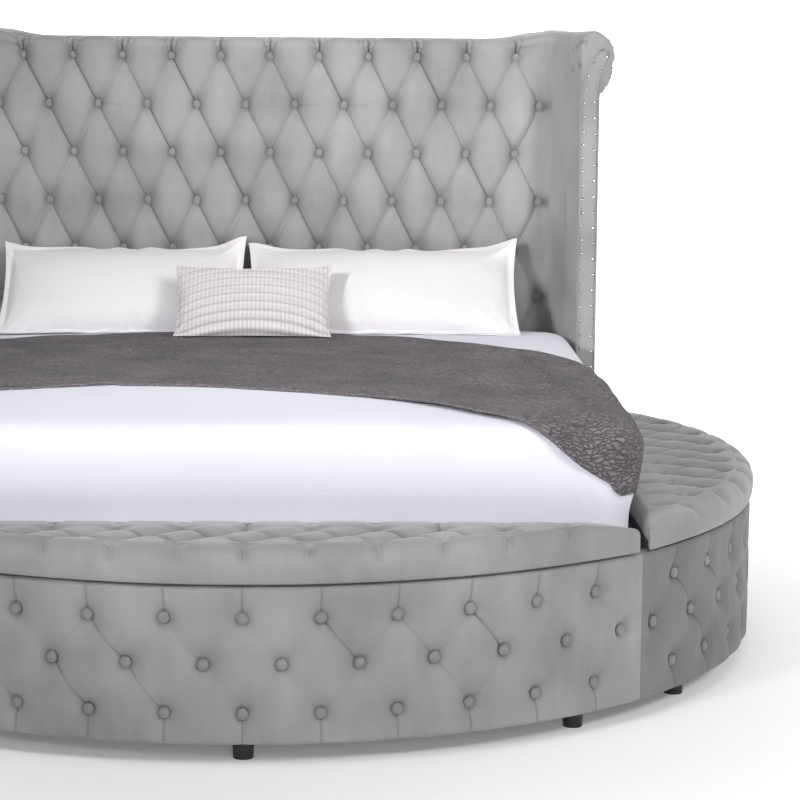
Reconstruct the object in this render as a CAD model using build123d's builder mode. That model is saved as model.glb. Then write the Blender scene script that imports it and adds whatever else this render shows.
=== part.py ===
from build123d import *
from math import cos, degrees, hypot, radians, sin, sqrt, tan
import os

os.makedirs("parts", exist_ok=True)

# A round storage bed. Lengths are millimetres, +Z is up, the foot of the bed is towards -Y.
# The origin is on the floor, in the middle of the ring of benches.
# Each bench is drawn in its own frame: X along its straight edge, -Y outward from the bed.

# Fits
joint_gap = 0.5
cloth_gap = 0.3
seat_gap = 0.3
pin_gap = 0.05
cut_overrun = 20.0

# Bench ring
floor_gap = 50.0
wall_height = 386.0
seam_gap = 6.0
well_clearance = 39.0
bench_head_gap = 73.0
corner_angle = 45.0
bottom_board_thickness = 12.0
inner_wall_thickness = 15.0
outer_wall_thickness = 9.0
end_panel_thickness = 15.0
corner_block_inset = 17.0
corner_block_length = 59.0
bumper_radius = 7.0

# Tufted outer wall of a bench
wall_pad_depth = 36.0
wall_tuft_depth = 24.0
wall_edge_roll = 12.0
wall_column_pitch = 190.4
wall_row_heights = (308.0, 195.0, 74.0)

# Tufted lid of a bench
lid_board_thickness = 18.0
lid_board_inset = 24.0
lid_overhang = 8.0
lid_inner_crown = 80.0
lid_outer_crown = 95.0
lid_swell = 5.0
lid_tuft_depth = 24.0
lid_column_pitch = 160.0
lid_side_roll = 46.0
lid_full_width = 130.0
lid_tip_width = 16.0
lid_rim_lift = 1.0
lid_end_roll = 18.0
lid_row_room = 40.0
lid_row_crowd = 12.0

# Share of the lid's full width, from its straight edge, of each half row of tufts
lid_row_shares = (0.745, 0.643, 0.54, 0.425, 0.31)

# Share of the tuft depth: in a fold, beside a crown, in a pleat and at a cut end
fold_share = 0.55
near_crown_share = 0.2
pleat_share = 0.4
cut_end_share = 0.3

# Covered buttons
button_radius = 15.0
button_rim = 2.0
button_dome = 6.0
button_relief = 1.2

# Cranked lid hinges
hinge_length = 60.0
hinge_knuckle_radius = 5.0
hinge_pin_radius = 2.5
hinge_leaf_thickness = 2.5
hinge_offset = 9.0
hinge_rise = 42.0
hinge_fixed_drop = 32.0
hinge_knuckle_gap = 0.5
hinge_spacing = 500.0
lid_edge_from_pin = 5.0
pad_edge_from_pin = 7.0

# Feet
foot_top_radius = 28.0
foot_bottom_radius = 25.0
outer_foot_inset = 78.0
outer_foot_end_inset = 51.0
side_foot_end_inset = 146.0
inner_foot_along = 600.0
inner_foot_inset = 56.0
wing_foot_back = 50.0

# Bed platform
rail_thickness = 25.0
rail_height = 120.0
rail_top = 400.0
platform_short = 105.0
slat_count = 15
slat_thickness = 20.0
slat_width = 70.0
beam_width = 60.0
beam_height = 70.0
leg_radius = 25.0
leg_spacing = 640.0
bolt_radius = 4.0
bolt_head_radius = 7.0
bolt_head_height = 5.0
bolt_along = 380.0

# Mattress and bedding
mattress_width = 1930.0
mattress_length = 2030.0
mattress_thickness = 325.0
mattress_corner = 70.0
mattress_edge = 40.0
coverlet_hem_height = 462.0
coverlet_side = 8.0
coverlet_bulge = 21.0
coverlet_crown = 22.0
coverlet_shoulder = 294.0
coverlet_short = 105.0
coverlet_corner = 78.0
runner_thickness = 8.0
runner_hem_height = 520.0
runner_back_edge = 760.0
runner_back_swing = 430.0
runner_front_edge = 467.0
runner_front_swing = 463.0

# Coverlet outline: shares of its height against shares of its bulge, then of its shoulder
coverlet_side_shares = ((0.0, 0.0), (0.22, 0.1), (0.42, 0.7), (0.58, 1.0), (0.75, 1.0))
coverlet_shoulder_shares = ((0.85, 0.03), (0.93, 0.1), (0.97, 0.2), (0.99, 0.4), (1.0, 1.0))

# Runner's plan: shares of the half width of the bed against shares of each edge's swing to the foot
runner_back_shares = ((-1.0, 0.0), (0.15, 0.0), (0.6, 0.4), (1.0, 1.0))
runner_front_shares = ((-1.0, 0.0), (-0.4, -0.17), (0.0, 0.0), (0.3, 0.24), (0.48, 0.6), (0.6, 0.92), (0.75, 1.0), (1.0, 1.0))

# Headboard
headboard_clearance = 63.0
headboard_tuft_depth = 40.0
headboard_pad_depth = 82.0
headboard_pad_bottom = 545.0
headboard_top = 1720.0
headboard_pad_over = 30.0
headboard_board_thickness = 12.0
headboard_frame_thickness = 40.0
headboard_cover_thickness = 4.0
headboard_wing_gap = 3.0
headboard_roll = 34.0
headboard_top_row = 63.0
headboard_row_pitch = 159.2
headboard_column_pitch = 162.4
headboard_button_inset = 44.0
stile_width = 60.0
frame_rail_width = 70.0
lower_cover_height = 150.0
lower_cover_thickness = 15.0
arm_width = 60.0
arm_height = 60.0
arm_spacing = 1000.0

# Headboard wings
wing_lap = 115.0
wing_clearance = 8.0
wing_thickness = 56.0
wing_flare = 22.5
wing_core_inset = 12.0
wing_core_top = 1640.0
wing_top = 1747.0
wing_roll = 50.0
wing_scroll_drop = 217.0
wing_scroll_reach = 62.0
wing_scroll_belly = 107.0
facing_thickness = 4.0
facing_margin = 2.0
facing_bend = 1524.0
facing_lean = 61.0
facing_rise = 166.0
facing_tip_width = 26.0

# Shares of the scroll's reach and belly where its outline passes, over and under its widest place
scroll_over_shares = (0.8, 0.28)
scroll_under_shares = (0.7, 1.65)

# Shares of the facing's lean and rise where its inner and outer edges pass
facing_inner_shares = (0.25, 0.55)
facing_outer_shares = (0.14, 0.45)
facing_corner_share = 0.2
nail_radius = 6.0
nail_height = 3.5
nail_margin = 9.0
nail_inner_pitch = 44.0
nail_outer_pitch = 50.0

# Pillows
pillow_tilt = 40.0
pillow_thickness = 170.0
pillow_height = 420.0
right_pillow_width = 890.0
left_pillow_width = 800.0
right_pillow_side = 375.0
pillow_gap = 5.0
pillow_before_headboard = 173.0
cushion_width = 500.0
cushion_height = 285.0
cushion_thickness = 110.0
cushion_tilt = 50.0
cushion_side = -43.0
cushion_before_headboard = 400.0

# Pillow outline: shares of the half thickness against shares of the width and height
pillow_level_shares = ((1.0, 0.45), (0.82, 0.68), (0.5, 0.86), (0.1, 1.0))
pillow_sag_share = 0.03
pillow_sag_turn_share = 2.2

# Places worked out from the sizes above. The round of the benches passes through the well's corners.
mattress_half = mattress_width / 2
mattress_head = mattress_length - mattress_half
well_half = mattress_half + well_clearance
bench_radius = hypot(well_half, well_half)
wing_front = mattress_head - wing_lap
wing_inner = well_half + wing_clearance
head_end = wing_front - bench_head_gap
rail_head_end = mattress_head - platform_short
coverlet_head_edge = mattress_head - coverlet_short
headboard_front = mattress_head + headboard_clearance
wall_base = floor_gap
wall_top = wall_base + wall_height
floor_board_top = wall_base + bottom_board_thickness
outer_wall_radius = bench_radius - wall_pad_depth
inside_radius = outer_wall_radius - outer_wall_thickness
inner_wall_face = well_half + inner_wall_thickness
lid_base = wall_top + seam_gap
lid_board_top = lid_base + lid_board_thickness
lid_radius = bench_radius + lid_overhang
lid_board_radius = bench_radius - lid_board_inset
hinge_out = well_half + hinge_offset
hinge_height = lid_base + hinge_rise
lid_board_inner = hinge_out + lid_edge_from_pin
lid_pad_inner = hinge_out + pad_edge_from_pin
lid_width = lid_radius - lid_pad_inner
rail_face = well_half - rail_thickness
rail_middle_height = rail_top - rail_height / 2
rail_corner = sqrt((inside_radius - joint_gap)**2 - well_half**2)
bolt_drill = 2 * (rail_thickness + inner_wall_thickness + cut_overrun)
wall_pad_back = outer_wall_radius + cloth_gap
mattress_base = rail_top + slat_thickness
mattress_top = mattress_base + mattress_thickness
headboard_pad_back = headboard_front + headboard_pad_depth
headboard_frame_front = headboard_pad_back + headboard_board_thickness
headboard_frame_back = headboard_frame_front + headboard_frame_thickness
headboard_back = headboard_frame_back + headboard_cover_thickness
headboard_board_top = headboard_top - headboard_pad_over
headboard_height = headboard_board_top - floor_gap
flare_slope = tan(radians(wing_flare))
headboard_half = wing_inner - (headboard_back - wing_front) * flare_slope - headboard_wing_gap
headboard_button_reach = wing_inner - (headboard_front - wing_front) * flare_slope - headboard_button_inset
headboard_tufted_span = headboard_top - headboard_top_row - headboard_pad_bottom - headboard_roll
headboard_half_rows = int(2 * headboard_tufted_span / headboard_row_pitch) + 1
headboard_rows = (headboard_half_rows + 1) // 2
pillow_back = headboard_front - pillow_before_headboard
left_pillow_side = right_pillow_side - (right_pillow_width + left_pillow_width) / 2 - pillow_gap
quarter_turn = 90.0


def keep(solid, label):
    """Name a finished piece and write its file."""
    solid.label = label
    export_step(solid, f"parts/{label}.step")


def group_of(solid, places):
    """Copies of one solid, one at each place, as one piece made of separate solids."""
    with BuildPart() as group:
        with Locations(*places):
            add(solid)
    return group.part


def half_chord(radius, distance):
    """Half length of the straight line that crosses a circle at a distance from its middle."""
    return sqrt(radius**2 - distance**2)


def tuft_share(quarter, half_row):
    """Share of the tuft depth at a quarter of a column pitch and half of a row pitch."""
    if half_row % 2 == 0:
        return (1.0, near_crown_share, 0.0, near_crown_share)[(quarter + half_row) % 4]
    return fold_share if quarter % 2 else near_crown_share


def edge_share(quarter, half_row):
    """Share of the tuft depth beyond an outermost row, where its buttons' pleats run out."""
    return pleat_share if (quarter + half_row) % 4 == 0 else near_crown_share / 2


def end_share(half_row):
    """Share of the tuft depth at a cut end, where the tufts have run out."""
    return cut_end_share if half_row % 2 == 0 else near_crown_share


def dome_radius(half_width, rise):
    """Radius of the ball that a dome of that half width and rise is cut from."""
    return (half_width**2 + rise**2) / (2 * rise)


def covered_button(tuft_depth, column_pitch, row_pitch):
    """A domed button whose back narrows down into its tuft. Its axis is Z and its tip the origin."""
    fall = (1 - near_crown_share) * tuft_depth
    tuft_slope = hypot(fall / (column_pitch / 4), fall / (row_pitch / 2))
    seat = button_radius * button_relief * tuft_slope
    top = seat + button_rim + button_dome
    with BuildPart() as button:
        with BuildSketch(Plane.XZ):
            with BuildLine():
                Polyline((0, top), (0, 0), (button_radius, seat), (button_radius, seat + button_rim))
                RadiusArc((button_radius, seat + button_rim), (0, top), -dome_radius(button_radius, button_dome))
            make_face()
        revolve(axis=Axis.Z)
    return button.part


# Planes of a bench


def across(base, along):
    """Upright plane across a bench at a distance along it: X outward from the bed, Y up."""
    return Plane(base.from_local_coords((along, 0, 0)), x_dir=-base.y_dir, z_dir=-base.x_dir)


def radial(base, angle):
    """Upright plane through the middle of the bed at an angle from the bench's middle."""
    turned = base.rotated((0, 0, angle))
    return Plane(base.origin, x_dir=-turned.y_dir, z_dir=-turned.x_dir)


def outward(base, along, out, height):
    """Plane at a point of a bench whose Z axis points straight out from the bed."""
    return Plane(base.from_local_coords((along, -out, height)), z_dir=-base.y_dir)


# Bench box


def segment(inner, radius, low, high):
    """Segment of a disc outward of a straight edge, for the current sketch."""
    depth = radius + cut_overrun - inner
    Circle(radius)
    with Locations(((low + high) / 2, -inner - depth / 2)):
        Rectangle(high - low, depth, mode=Mode.INTERSECT)


def bottom_board(base, low, high):
    with BuildPart() as board:
        with BuildSketch(base.offset(wall_base)):
            segment(well_half, inside_radius - joint_gap, low, high)
        extrude(amount=bottom_board_thickness)
    return board.part


def inner_wall(base, low, high):
    with BuildPart() as wall:
        with BuildSketch(base.offset(floor_board_top)):
            with Locations(((low + high) / 2, -well_half - inner_wall_thickness / 2)):
                Rectangle(high - low, inner_wall_thickness)
        extrude(amount=wall_top - floor_board_top)
        with Locations(*bolt_planes(base)):
            Cylinder(bolt_radius + pin_gap, bolt_drill, mode=Mode.SUBTRACT)
    return wall.part


def outer_wall(base, low, high):
    """Bent board between the two corner rays, or short of them at a cut end."""
    far = 2 * outer_wall_radius
    half_width = far * tan(radians(corner_angle)) - joint_gap
    with BuildPart() as wall:
        with BuildSketch(base.offset(wall_base)):
            Circle(outer_wall_radius)
            Circle(inside_radius, mode=Mode.SUBTRACT)
            with BuildLine():
                Polyline((0, -joint_gap), (-half_width, -far), (half_width, -far), close=True)
            make_face(mode=Mode.INTERSECT)
            with Locations(((low + high) / 2, -far / 2)):
                Rectangle(high - low, far, mode=Mode.INTERSECT)
        extrude(amount=wall_height)
    return wall.part


def end_blocks(base, spans):
    """Upright blocks and end panels that fill each end between the straight and the round wall."""
    with BuildPart() as blocks:
        for low, high in spans:
            with BuildSketch(base.offset(floor_board_top)):
                segment(inner_wall_face, inside_radius - joint_gap, low, high)
            extrude(amount=wall_top - floor_board_top)
    return blocks.part


def wall_pad(base, low, high):
    """Tufted padding round the outside: a ruled skin through the button columns and folds."""
    quarter_angle = degrees(wall_column_pitch / bench_radius) / 4
    corner = corner_angle - degrees(joint_gap / bench_radius)
    last = int(corner / quarter_angle)
    shoulder = bench_radius - wall_edge_roll / 4
    stations = [(quarter * quarter_angle, quarter) for quarter in range(-last, last + 1)]
    stations = [(-corner, None)] + stations + [(corner, None)]
    levels = [wall_base + height for height in wall_row_heights]
    levels = [levels[0], (levels[0] + levels[1]) / 2, levels[1], (levels[1] + levels[2]) / 2, levels[2]]
    with BuildPart() as pad:
        for angle, quarter in stations:
            face = []
            for half_row, height in enumerate(levels):
                share = end_share(half_row) if quarter is None else tuft_share(quarter, half_row)
                face.append((bench_radius - wall_tuft_depth * share, height))
            edge = 0.0 if quarter is None else edge_share(quarter, 0)
            rim = shoulder - wall_tuft_depth * edge
            outline = [
                (wall_pad_back, wall_top),
                (bench_radius - wall_edge_roll, wall_top),
                (rim, wall_top - wall_edge_roll),
                *face,
                (rim, wall_base + wall_edge_roll),
                (bench_radius - wall_edge_roll, wall_base),
                (wall_pad_back, wall_base),
            ]
            with BuildSketch(radial(base, angle)):
                with BuildLine():
                    Polyline(*outline, close=True)
                make_face()
        loft(ruled=True)
        if high < corner_reach:
            split(bisect_by=across(base, high), keep=Keep.TOP)
        if low > -corner_reach:
            split(bisect_by=across(base, low), keep=Keep.BOTTOM)
    return pad.part


def wall_button_planes(base, low, high):
    """Places of the covered buttons on a bench's outer wall."""
    column_angle = degrees(wall_column_pitch / bench_radius)
    seat_radius = bench_radius - wall_tuft_depth + seat_gap
    clear = 2 * button_radius
    planes = []
    for row, height in enumerate(wall_row_heights):
        first = row % 2 / 2
        count = int(corner_angle / column_angle) + 1
        columns = [first + step for step in range(-count, count)]
        for column in columns:
            angle = column * column_angle
            along = seat_radius * sin(radians(angle))
            out = seat_radius * cos(radians(angle))
            if abs(angle) < corner_angle and low + clear < along < high - clear:
                point = base.from_local_coords((along, -out, wall_base + height))
                planes.append(Plane(point, z_dir=radial(base, angle).x_dir))
    return planes


# Lids


def lid_board(base, low, high):
    with BuildPart() as board:
        with BuildSketch(base.offset(lid_base)):
            segment(lid_board_inner, lid_board_radius, low, high)
        extrude(amount=lid_board_thickness)
    return board.part


def lid_top(share):
    """Height of the lid's crown at a share of its width from the straight edge."""
    swell = 4 * lid_swell * share * (1 - share)
    return lid_base + lid_inner_crown + (lid_outer_crown - lid_inner_crown) * share + swell


def lid_section(along, quarter, end_drop):
    """Outline of the lid cushion across the bench: outward distance against height."""
    outer = half_chord(lid_radius, along)
    width = outer - lid_pad_inner
    fit = min(1.0, width / lid_full_width)
    pocket_radius = max(lid_board_radius + joint_gap, abs(along))
    pocket = max(half_chord(pocket_radius, along), lid_pad_inner + lid_rim_lift)
    roll = lid_side_roll * fit
    rim = lid_base + lid_rim_lift
    full_drop = (1 - fit) * (lid_outer_crown - lid_board_thickness) / 2 + end_drop
    flat_low = lid_pad_inner + roll
    flat_high = outer - roll

    def top(place, tuft):
        share = (place - lid_pad_inner) / lid_width
        return (place, lid_top(share) - full_drop - lid_tuft_depth * tuft * fit)

    tufts = []
    crowd = min(lid_row_crowd, (flat_high - flat_low) / (len(lid_row_shares) + 1))
    for half_row, share in enumerate(lid_row_shares):
        tuft = end_share(half_row) if quarter is None else tuft_share(quarter, half_row)
        place = lid_pad_inner + lid_width * share
        limit = flat_high - crowd * (half_row + 1)
        left = max(0.0, min(1.0, (flat_high - place) / lid_row_room))
        tufts.append(top(min(place, limit), tuft * left))
    edge = 0.0 if quarter is None else edge_share(quarter, 0)
    side = lid_top(width / lid_width) - full_drop - rim
    inner_side = lid_top(0) - full_drop - lid_board_top
    return [
        (lid_pad_inner, lid_board_top),
        (pocket, lid_board_top),
        (pocket, rim),
        (outer - roll / 4, rim),
        (outer, rim + side / 4),
        (outer, rim + side / 2),
        (outer - roll / 6, rim + side * 3 / 4),
        (outer - roll / 2, rim + side - roll / 8),
        top(flat_high, edge),
        *tufts,
        top(flat_low, edge),
        (lid_pad_inner + roll / 3, lid_board_top + inner_side - roll / 8),
        (lid_pad_inner, lid_board_top + inner_side / 2),
    ]


def lid_pad(base, low, high):
    """Tufted lid cushion: a ruled skin through sections across the bench, pinched to its two tips."""
    quarter_pitch = lid_column_pitch / 4
    tip = half_chord(lid_radius, lid_pad_inner + lid_tip_width)
    first = max(-tip, low)
    final = min(tip, high)
    count = int(tip / quarter_pitch) + 1
    inside = [quarter for quarter in range(-count, count + 1)
              if first + lid_end_roll < quarter * quarter_pitch < final - lid_end_roll]
    stations = [(quarter * quarter_pitch, quarter, 0.0) for quarter in inside]
    stations.insert(0, (first + lid_end_roll / 2, None, 0.0))
    stations.insert(0, (first, None, lid_end_roll / 2))
    stations.append((final - lid_end_roll / 2, None, 0.0))
    stations.append((final, None, lid_end_roll / 2))
    with BuildPart() as pad:
        for along, quarter, end_drop in stations:
            with BuildSketch(across(base, along)):
                with BuildLine():
                    Polyline(*lid_section(along, quarter, end_drop), close=True)
                make_face()
        loft(ruled=True)
    return pad.part


def lid_button_planes(base, low, high):
    """Places of the covered buttons on a lid, where the lid is wide enough for tufts."""
    planes = []
    clear = 2 * button_radius
    for row in range(3):
        half_row = 2 * row
        fixed = lid_pad_inner + lid_width * lid_row_shares[half_row]
        columns = [row % 2 / 2 + step for step in range(-5, 6)]
        for column in columns:
            along = column * lid_column_pitch
            room = half_chord(lid_radius, along) - lid_side_roll - fixed
            if room < lid_row_room or not low + clear < along < high - clear:
                continue
            place, seat = lid_section(along, int(column * 4), 0.0)[9 + half_row]
            point = base.from_local_coords((along, -place, seat + seat_gap))
            planes.append(Plane(point, z_dir=base.z_dir))
    return planes


def bumpers(base, places):
    with BuildPart() as group:
        for along in places:
            with BuildSketch(base.offset(wall_top)):
                with Locations((along, -inner_wall_face - 2 * bumper_radius)):
                    Circle(bumper_radius)
            extrude(amount=seam_gap)
    return group.part


# Hinges, drawn across the bench and drawn out along it


def knuckle(base, start, length, leaf):
    """Part of a hinge between two distances along the bench. The leaf draws its own outline."""
    with BuildPart() as solid:
        with BuildSketch(across(base, start + length)):
            leaf()
            with Locations((hinge_out, hinge_height)):
                Circle(hinge_pin_radius + pin_gap, mode=Mode.SUBTRACT)
        extrude(amount=length)
    return solid.part


def fixed_outline():
    """Leaf on the mattress side of the inner wall, cranked over to the pin."""
    low = wall_top - hinge_fixed_drop
    high = hinge_height + hinge_leaf_thickness
    leaf_middle = well_half - hinge_leaf_thickness / 2
    with Locations((leaf_middle, (low + high) / 2)):
        Rectangle(hinge_leaf_thickness, high - low)
    with Locations((hinge_out, hinge_height)):
        Circle(hinge_knuckle_radius)
    with Locations(((leaf_middle + hinge_out) / 2, hinge_height + hinge_leaf_thickness / 2)):
        Rectangle(hinge_out - leaf_middle, hinge_leaf_thickness)


def fixed_plate_outline():
    low = wall_top - hinge_fixed_drop
    high = hinge_height + hinge_leaf_thickness
    with Locations((well_half - hinge_leaf_thickness / 2, (low + high) / 2)):
        Rectangle(hinge_leaf_thickness, high - low)


def moving_outline():
    """Leaf on the straight edge of the lid board, up to the pin."""
    low = lid_base + lid_rim_lift
    with Locations((lid_board_inner - hinge_leaf_thickness / 2, (low + hinge_height) / 2)):
        Rectangle(hinge_leaf_thickness, hinge_height - low)
    with Locations((hinge_out, hinge_height)):
        Circle(hinge_knuckle_radius)


def moving_plate_outline():
    low = lid_base + lid_rim_lift
    high = hinge_height - hinge_knuckle_radius - hinge_knuckle_gap
    with Locations((lid_board_inner - hinge_leaf_thickness / 2, (low + high) / 2)):
        Rectangle(hinge_leaf_thickness, high - low)


def fixed_leaf(base, middle):
    third = hinge_length / 3
    start = middle - hinge_length / 2
    with BuildPart() as leaf:
        add(knuckle(base, start, third, fixed_outline))
        add(knuckle(base, start + third, third, fixed_plate_outline))
        add(knuckle(base, start + 2 * third, third, fixed_outline))
    return leaf.part


def moving_leaf(base, middle):
    third = hinge_length / 3
    start = middle - hinge_length / 2
    with BuildPart() as leaf:
        add(knuckle(base, start, hinge_length, moving_plate_outline))
        add(knuckle(base, start + third + hinge_knuckle_gap, third - 2 * hinge_knuckle_gap, moving_outline))
    return leaf.part


def hinge_pin(base, middle):
    with BuildPart() as pin:
        with BuildSketch(across(base, middle + hinge_length / 2)):
            with Locations((hinge_out, hinge_height)):
                Circle(hinge_pin_radius)
        extrude(amount=hinge_length)
    return pin.part


# Bolts that hold each bench to the bed platform


def bolt_planes(base):
    return [outward(base, along, rail_face, rail_middle_height) for along in (-bolt_along, bolt_along)]


def bench_bolt():
    """Bolt and nut: its Z axis points out through the rail and the inner wall."""
    grip = rail_thickness + inner_wall_thickness
    with BuildPart() as bolt:
        with BuildSketch(Plane.XY.offset(-bolt_head_height)):
            RegularPolygon(bolt_head_radius, 6)
        extrude(amount=bolt_head_height)
        with BuildSketch(Plane.XY):
            Circle(bolt_radius)
        extrude(amount=grip + 2 * bolt_head_height)
        with BuildSketch(Plane.XY.offset(grip)):
            RegularPolygon(bolt_head_radius, 6)
        extrude(amount=bolt_head_height)
    return bolt.part


# The three benches: name, turn about Z, and the end that stops short of a headboard wing
corner_reach = half_chord(bench_radius, well_half)
corner_block_to = half_chord(inside_radius - joint_gap, inner_wall_face) - corner_block_inset
corner_block_from = corner_block_to - corner_block_length
panel_to = min(head_end, corner_block_to)
benches = (("foot", 0.0, None), ("right", quarter_turn, "high"), ("left", -quarter_turn, "low"))

wall_row_pitch = wall_row_heights[0] - wall_row_heights[1]
wall_button = covered_button(wall_tuft_depth, wall_column_pitch, wall_row_pitch)
lid_button = covered_button(lid_tuft_depth, lid_column_pitch, 2 * lid_row_room)
bolt = bench_bolt()
fixed_leaves = []
hinge_pins = []
bolt_places = []
foot_places = []
bumper_parts = []
end_block_parts = []
wall_button_places = []

for name, turn, cut in benches:
    base = Plane.XY.rotated((0, 0, turn))
    low = -head_end if cut == "low" else -bench_radius
    high = head_end if cut == "high" else bench_radius
    board_half = half_chord(inside_radius - joint_gap, well_half)
    wall_half = half_chord(inside_radius - joint_gap, inner_wall_face)
    panel_from = panel_to - end_panel_thickness
    low_span = (-panel_to, -panel_from) if cut == "low" else (-corner_block_to, -corner_block_from)
    high_span = (panel_from, panel_to) if cut == "high" else (corner_block_from, corner_block_to)

    keep(bottom_board(base, max(low, -board_half), min(high, board_half)), f"{name}_bottom_board")
    keep(inner_wall(base, max(low, -wall_half), min(high, wall_half)), f"{name}_inner_wall")
    keep(outer_wall(base, low, high), f"{name}_outer_wall")
    end_block_parts.append(end_blocks(base, (low_span, high_span)))
    keep(wall_pad(base, low, high), f"{name}_wall_pad")
    wall_button_places += wall_button_planes(base, low, high)
    keep(lid_board(base, low, high), f"{name}_lid_board")
    keep(lid_pad(base, low, high), f"{name}_lid_pad")
    keep(group_of(lid_button, lid_button_planes(base, low, high)), f"{name}_lid_buttons")

    hinge_places = (-hinge_spacing, 0.0, hinge_spacing)
    with BuildPart() as moving_leaves:
        for middle in hinge_places:
            add(moving_leaf(base, middle))
    keep(moving_leaves.part, f"{name}_lid_leaves")
    fixed_leaves += [fixed_leaf(base, middle) for middle in hinge_places]
    hinge_pins += [hinge_pin(base, middle) for middle in hinge_places]
    bolt_places += bolt_planes(base)
    bumper_parts.append(bumpers(base, (sum(low_span) / 2, sum(high_span) / 2)))

    foot_radius = bench_radius - outer_foot_inset
    outer_foot_along = panel_to - (side_foot_end_inset if cut else outer_foot_end_inset)
    for along in (-outer_foot_along, 0.0, outer_foot_along):
        foot_places.append(base.from_local_coords((along, -half_chord(foot_radius, along), 0)))
    for along in (-inner_foot_along, inner_foot_along):
        foot_places.append(base.from_local_coords((along, -well_half - inner_foot_inset, 0)))

keep(group_of(wall_button, wall_button_places), "wall_buttons")

with BuildPart() as bench_end_blocks:
    add(end_block_parts)
keep(bench_end_blocks.part, "bench_end_blocks")

with BuildPart() as lid_bumpers:
    add(bumper_parts)
keep(lid_bumpers.part, "lid_bumpers")

with BuildPart() as lid_hinge_leaves:
    add(fixed_leaves)
keep(lid_hinge_leaves.part, "lid_hinge_fixed_leaves")

with BuildPart() as lid_hinge_pins:
    add(hinge_pins)
keep(lid_hinge_pins.part, "lid_hinge_pins")

keep(group_of(bolt, bolt_places), "bench_bolts")

with BuildPart() as foot:
    Cone(foot_bottom_radius, foot_top_radius, floor_gap, align=(Align.CENTER, Align.CENTER, Align.MIN))
keep(group_of(foot.part, foot_places), "bench_feet")


# Bed platform


def rail_with_bolts(base, low, high):
    """Rail along a bench's inner wall, drilled for the bolts."""
    with BuildPart() as rail:
        with BuildSketch(base.offset(rail_top - rail_height)):
            with Locations(((low + high) / 2, -well_half + rail_thickness / 2)):
                Rectangle(high - low, rail_thickness)
        extrude(amount=rail_height)
        with Locations(*bolt_planes(base)):
            Cylinder(bolt_radius + pin_gap, bolt_drill, mode=Mode.SUBTRACT)
    return rail.part


rail_end = rail_head_end - rail_thickness
keep(rail_with_bolts(Plane.XY, -rail_corner, rail_corner), "foot_rail")
keep(rail_with_bolts(Plane.XY.rotated((0, 0, quarter_turn)), -rail_corner, rail_end), "right_rail")
keep(rail_with_bolts(Plane.XY.rotated((0, 0, -quarter_turn)), -rail_end, rail_corner), "left_rail")

with BuildPart() as head_rail:
    with BuildSketch(Plane.XY.offset(rail_top - rail_height)):
        with Locations((0, rail_head_end - rail_thickness / 2)):
            Rectangle(2 * well_half, rail_thickness)
    extrude(amount=rail_height)
keep(head_rail.part, "head_rail")

with BuildPart() as centre_beam:
    with BuildSketch(Plane.XY.offset(rail_top - beam_height)):
        with Locations((0, (rail_end - rail_face) / 2)):
            Rectangle(beam_width, rail_end + rail_face)
    extrude(amount=beam_height)
keep(centre_beam.part, "centre_beam")

with BuildPart() as centre_legs:
    with BuildSketch(Plane.XY):
        with Locations((0, -leg_spacing), (0, 0), (0, leg_spacing)):
            Circle(leg_radius)
    extrude(amount=rail_top - beam_height)
keep(centre_legs.part, "centre_legs")

slat_pitch = (rail_head_end + well_half - slat_width) / (slat_count - 1)
with BuildPart() as slats:
    with BuildSketch(Plane.XY.offset(rail_top)):
        for slat in range(slat_count):
            with Locations((0, -well_half + slat_width / 2 + slat * slat_pitch)):
                Rectangle(2 * (well_half - hinge_leaf_thickness - joint_gap), slat_width)
        Rectangle(
            2 * well_half,
            2 * (well_half - hinge_leaf_thickness - joint_gap),
            mode=Mode.INTERSECT,
        )
        Circle(inside_radius - joint_gap, mode=Mode.INTERSECT)
    extrude(amount=slat_thickness)
keep(slats.part, "slats")

with BuildPart() as headboard_arms:
    with BuildSketch(Plane.XY.offset(rail_top - rail_height)):
        with Locations((-arm_spacing / 2, rail_head_end), (arm_spacing / 2, rail_head_end)):
            Rectangle(
                arm_width,
                headboard_pad_back - rail_head_end,
                align=(Align.CENTER, Align.MIN),
            )
    extrude(amount=arm_height)
keep(headboard_arms.part, "headboard_arms")


# Mattress and bedding


def mattress_block(grow):
    """The mattress, grown all round by a clearance."""
    with BuildPart() as block:
        with BuildSketch(Plane.XY.offset(mattress_base)):
            with Locations((0, (mattress_head - mattress_half) / 2)):
                Rectangle(mattress_width + 2 * grow, mattress_length + 2 * grow)
        extrude(amount=mattress_thickness + grow)
        fillet(block.edges().filter_by(Axis.Z), mattress_corner + grow)
        fillet(block.edges().group_by(Axis.Z)[-1], mattress_edge + grow)
    return block.part


def coverlet_outline(grow):
    """Half width of the coverlet against height, from its hem to its crown."""
    side = mattress_half + coverlet_side
    tall = mattress_top + coverlet_crown - coverlet_hem_height
    points = []
    for height_share, bulge_share in coverlet_side_shares:
        half_width = side + coverlet_bulge * bulge_share + grow
        points.append((half_width, coverlet_hem_height + tall * height_share))
    for height_share, inset_share in coverlet_shoulder_shares:
        half_width = side + coverlet_bulge - coverlet_shoulder * inset_share + grow * (1 - inset_share)
        points.append((half_width, coverlet_hem_height + tall * height_share + grow))
    return points


mattress = mattress_block(0)
keep(mattress, "mattress")

with BuildPart() as coverlet:
    for half_width, height in coverlet_outline(0):
        with BuildSketch(Plane.XY.offset(height)) as level:
            with Locations((0, (coverlet_head_edge - half_width) / 2)):
                Rectangle(2 * half_width, coverlet_head_edge + half_width)
            fillet(level.vertices().group_by(Axis.Y)[0], coverlet_corner)
    loft(ruled=True)
    add(mattress_block(cloth_gap), mode=Mode.SUBTRACT)
keep(coverlet.part, "coverlet")


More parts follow.
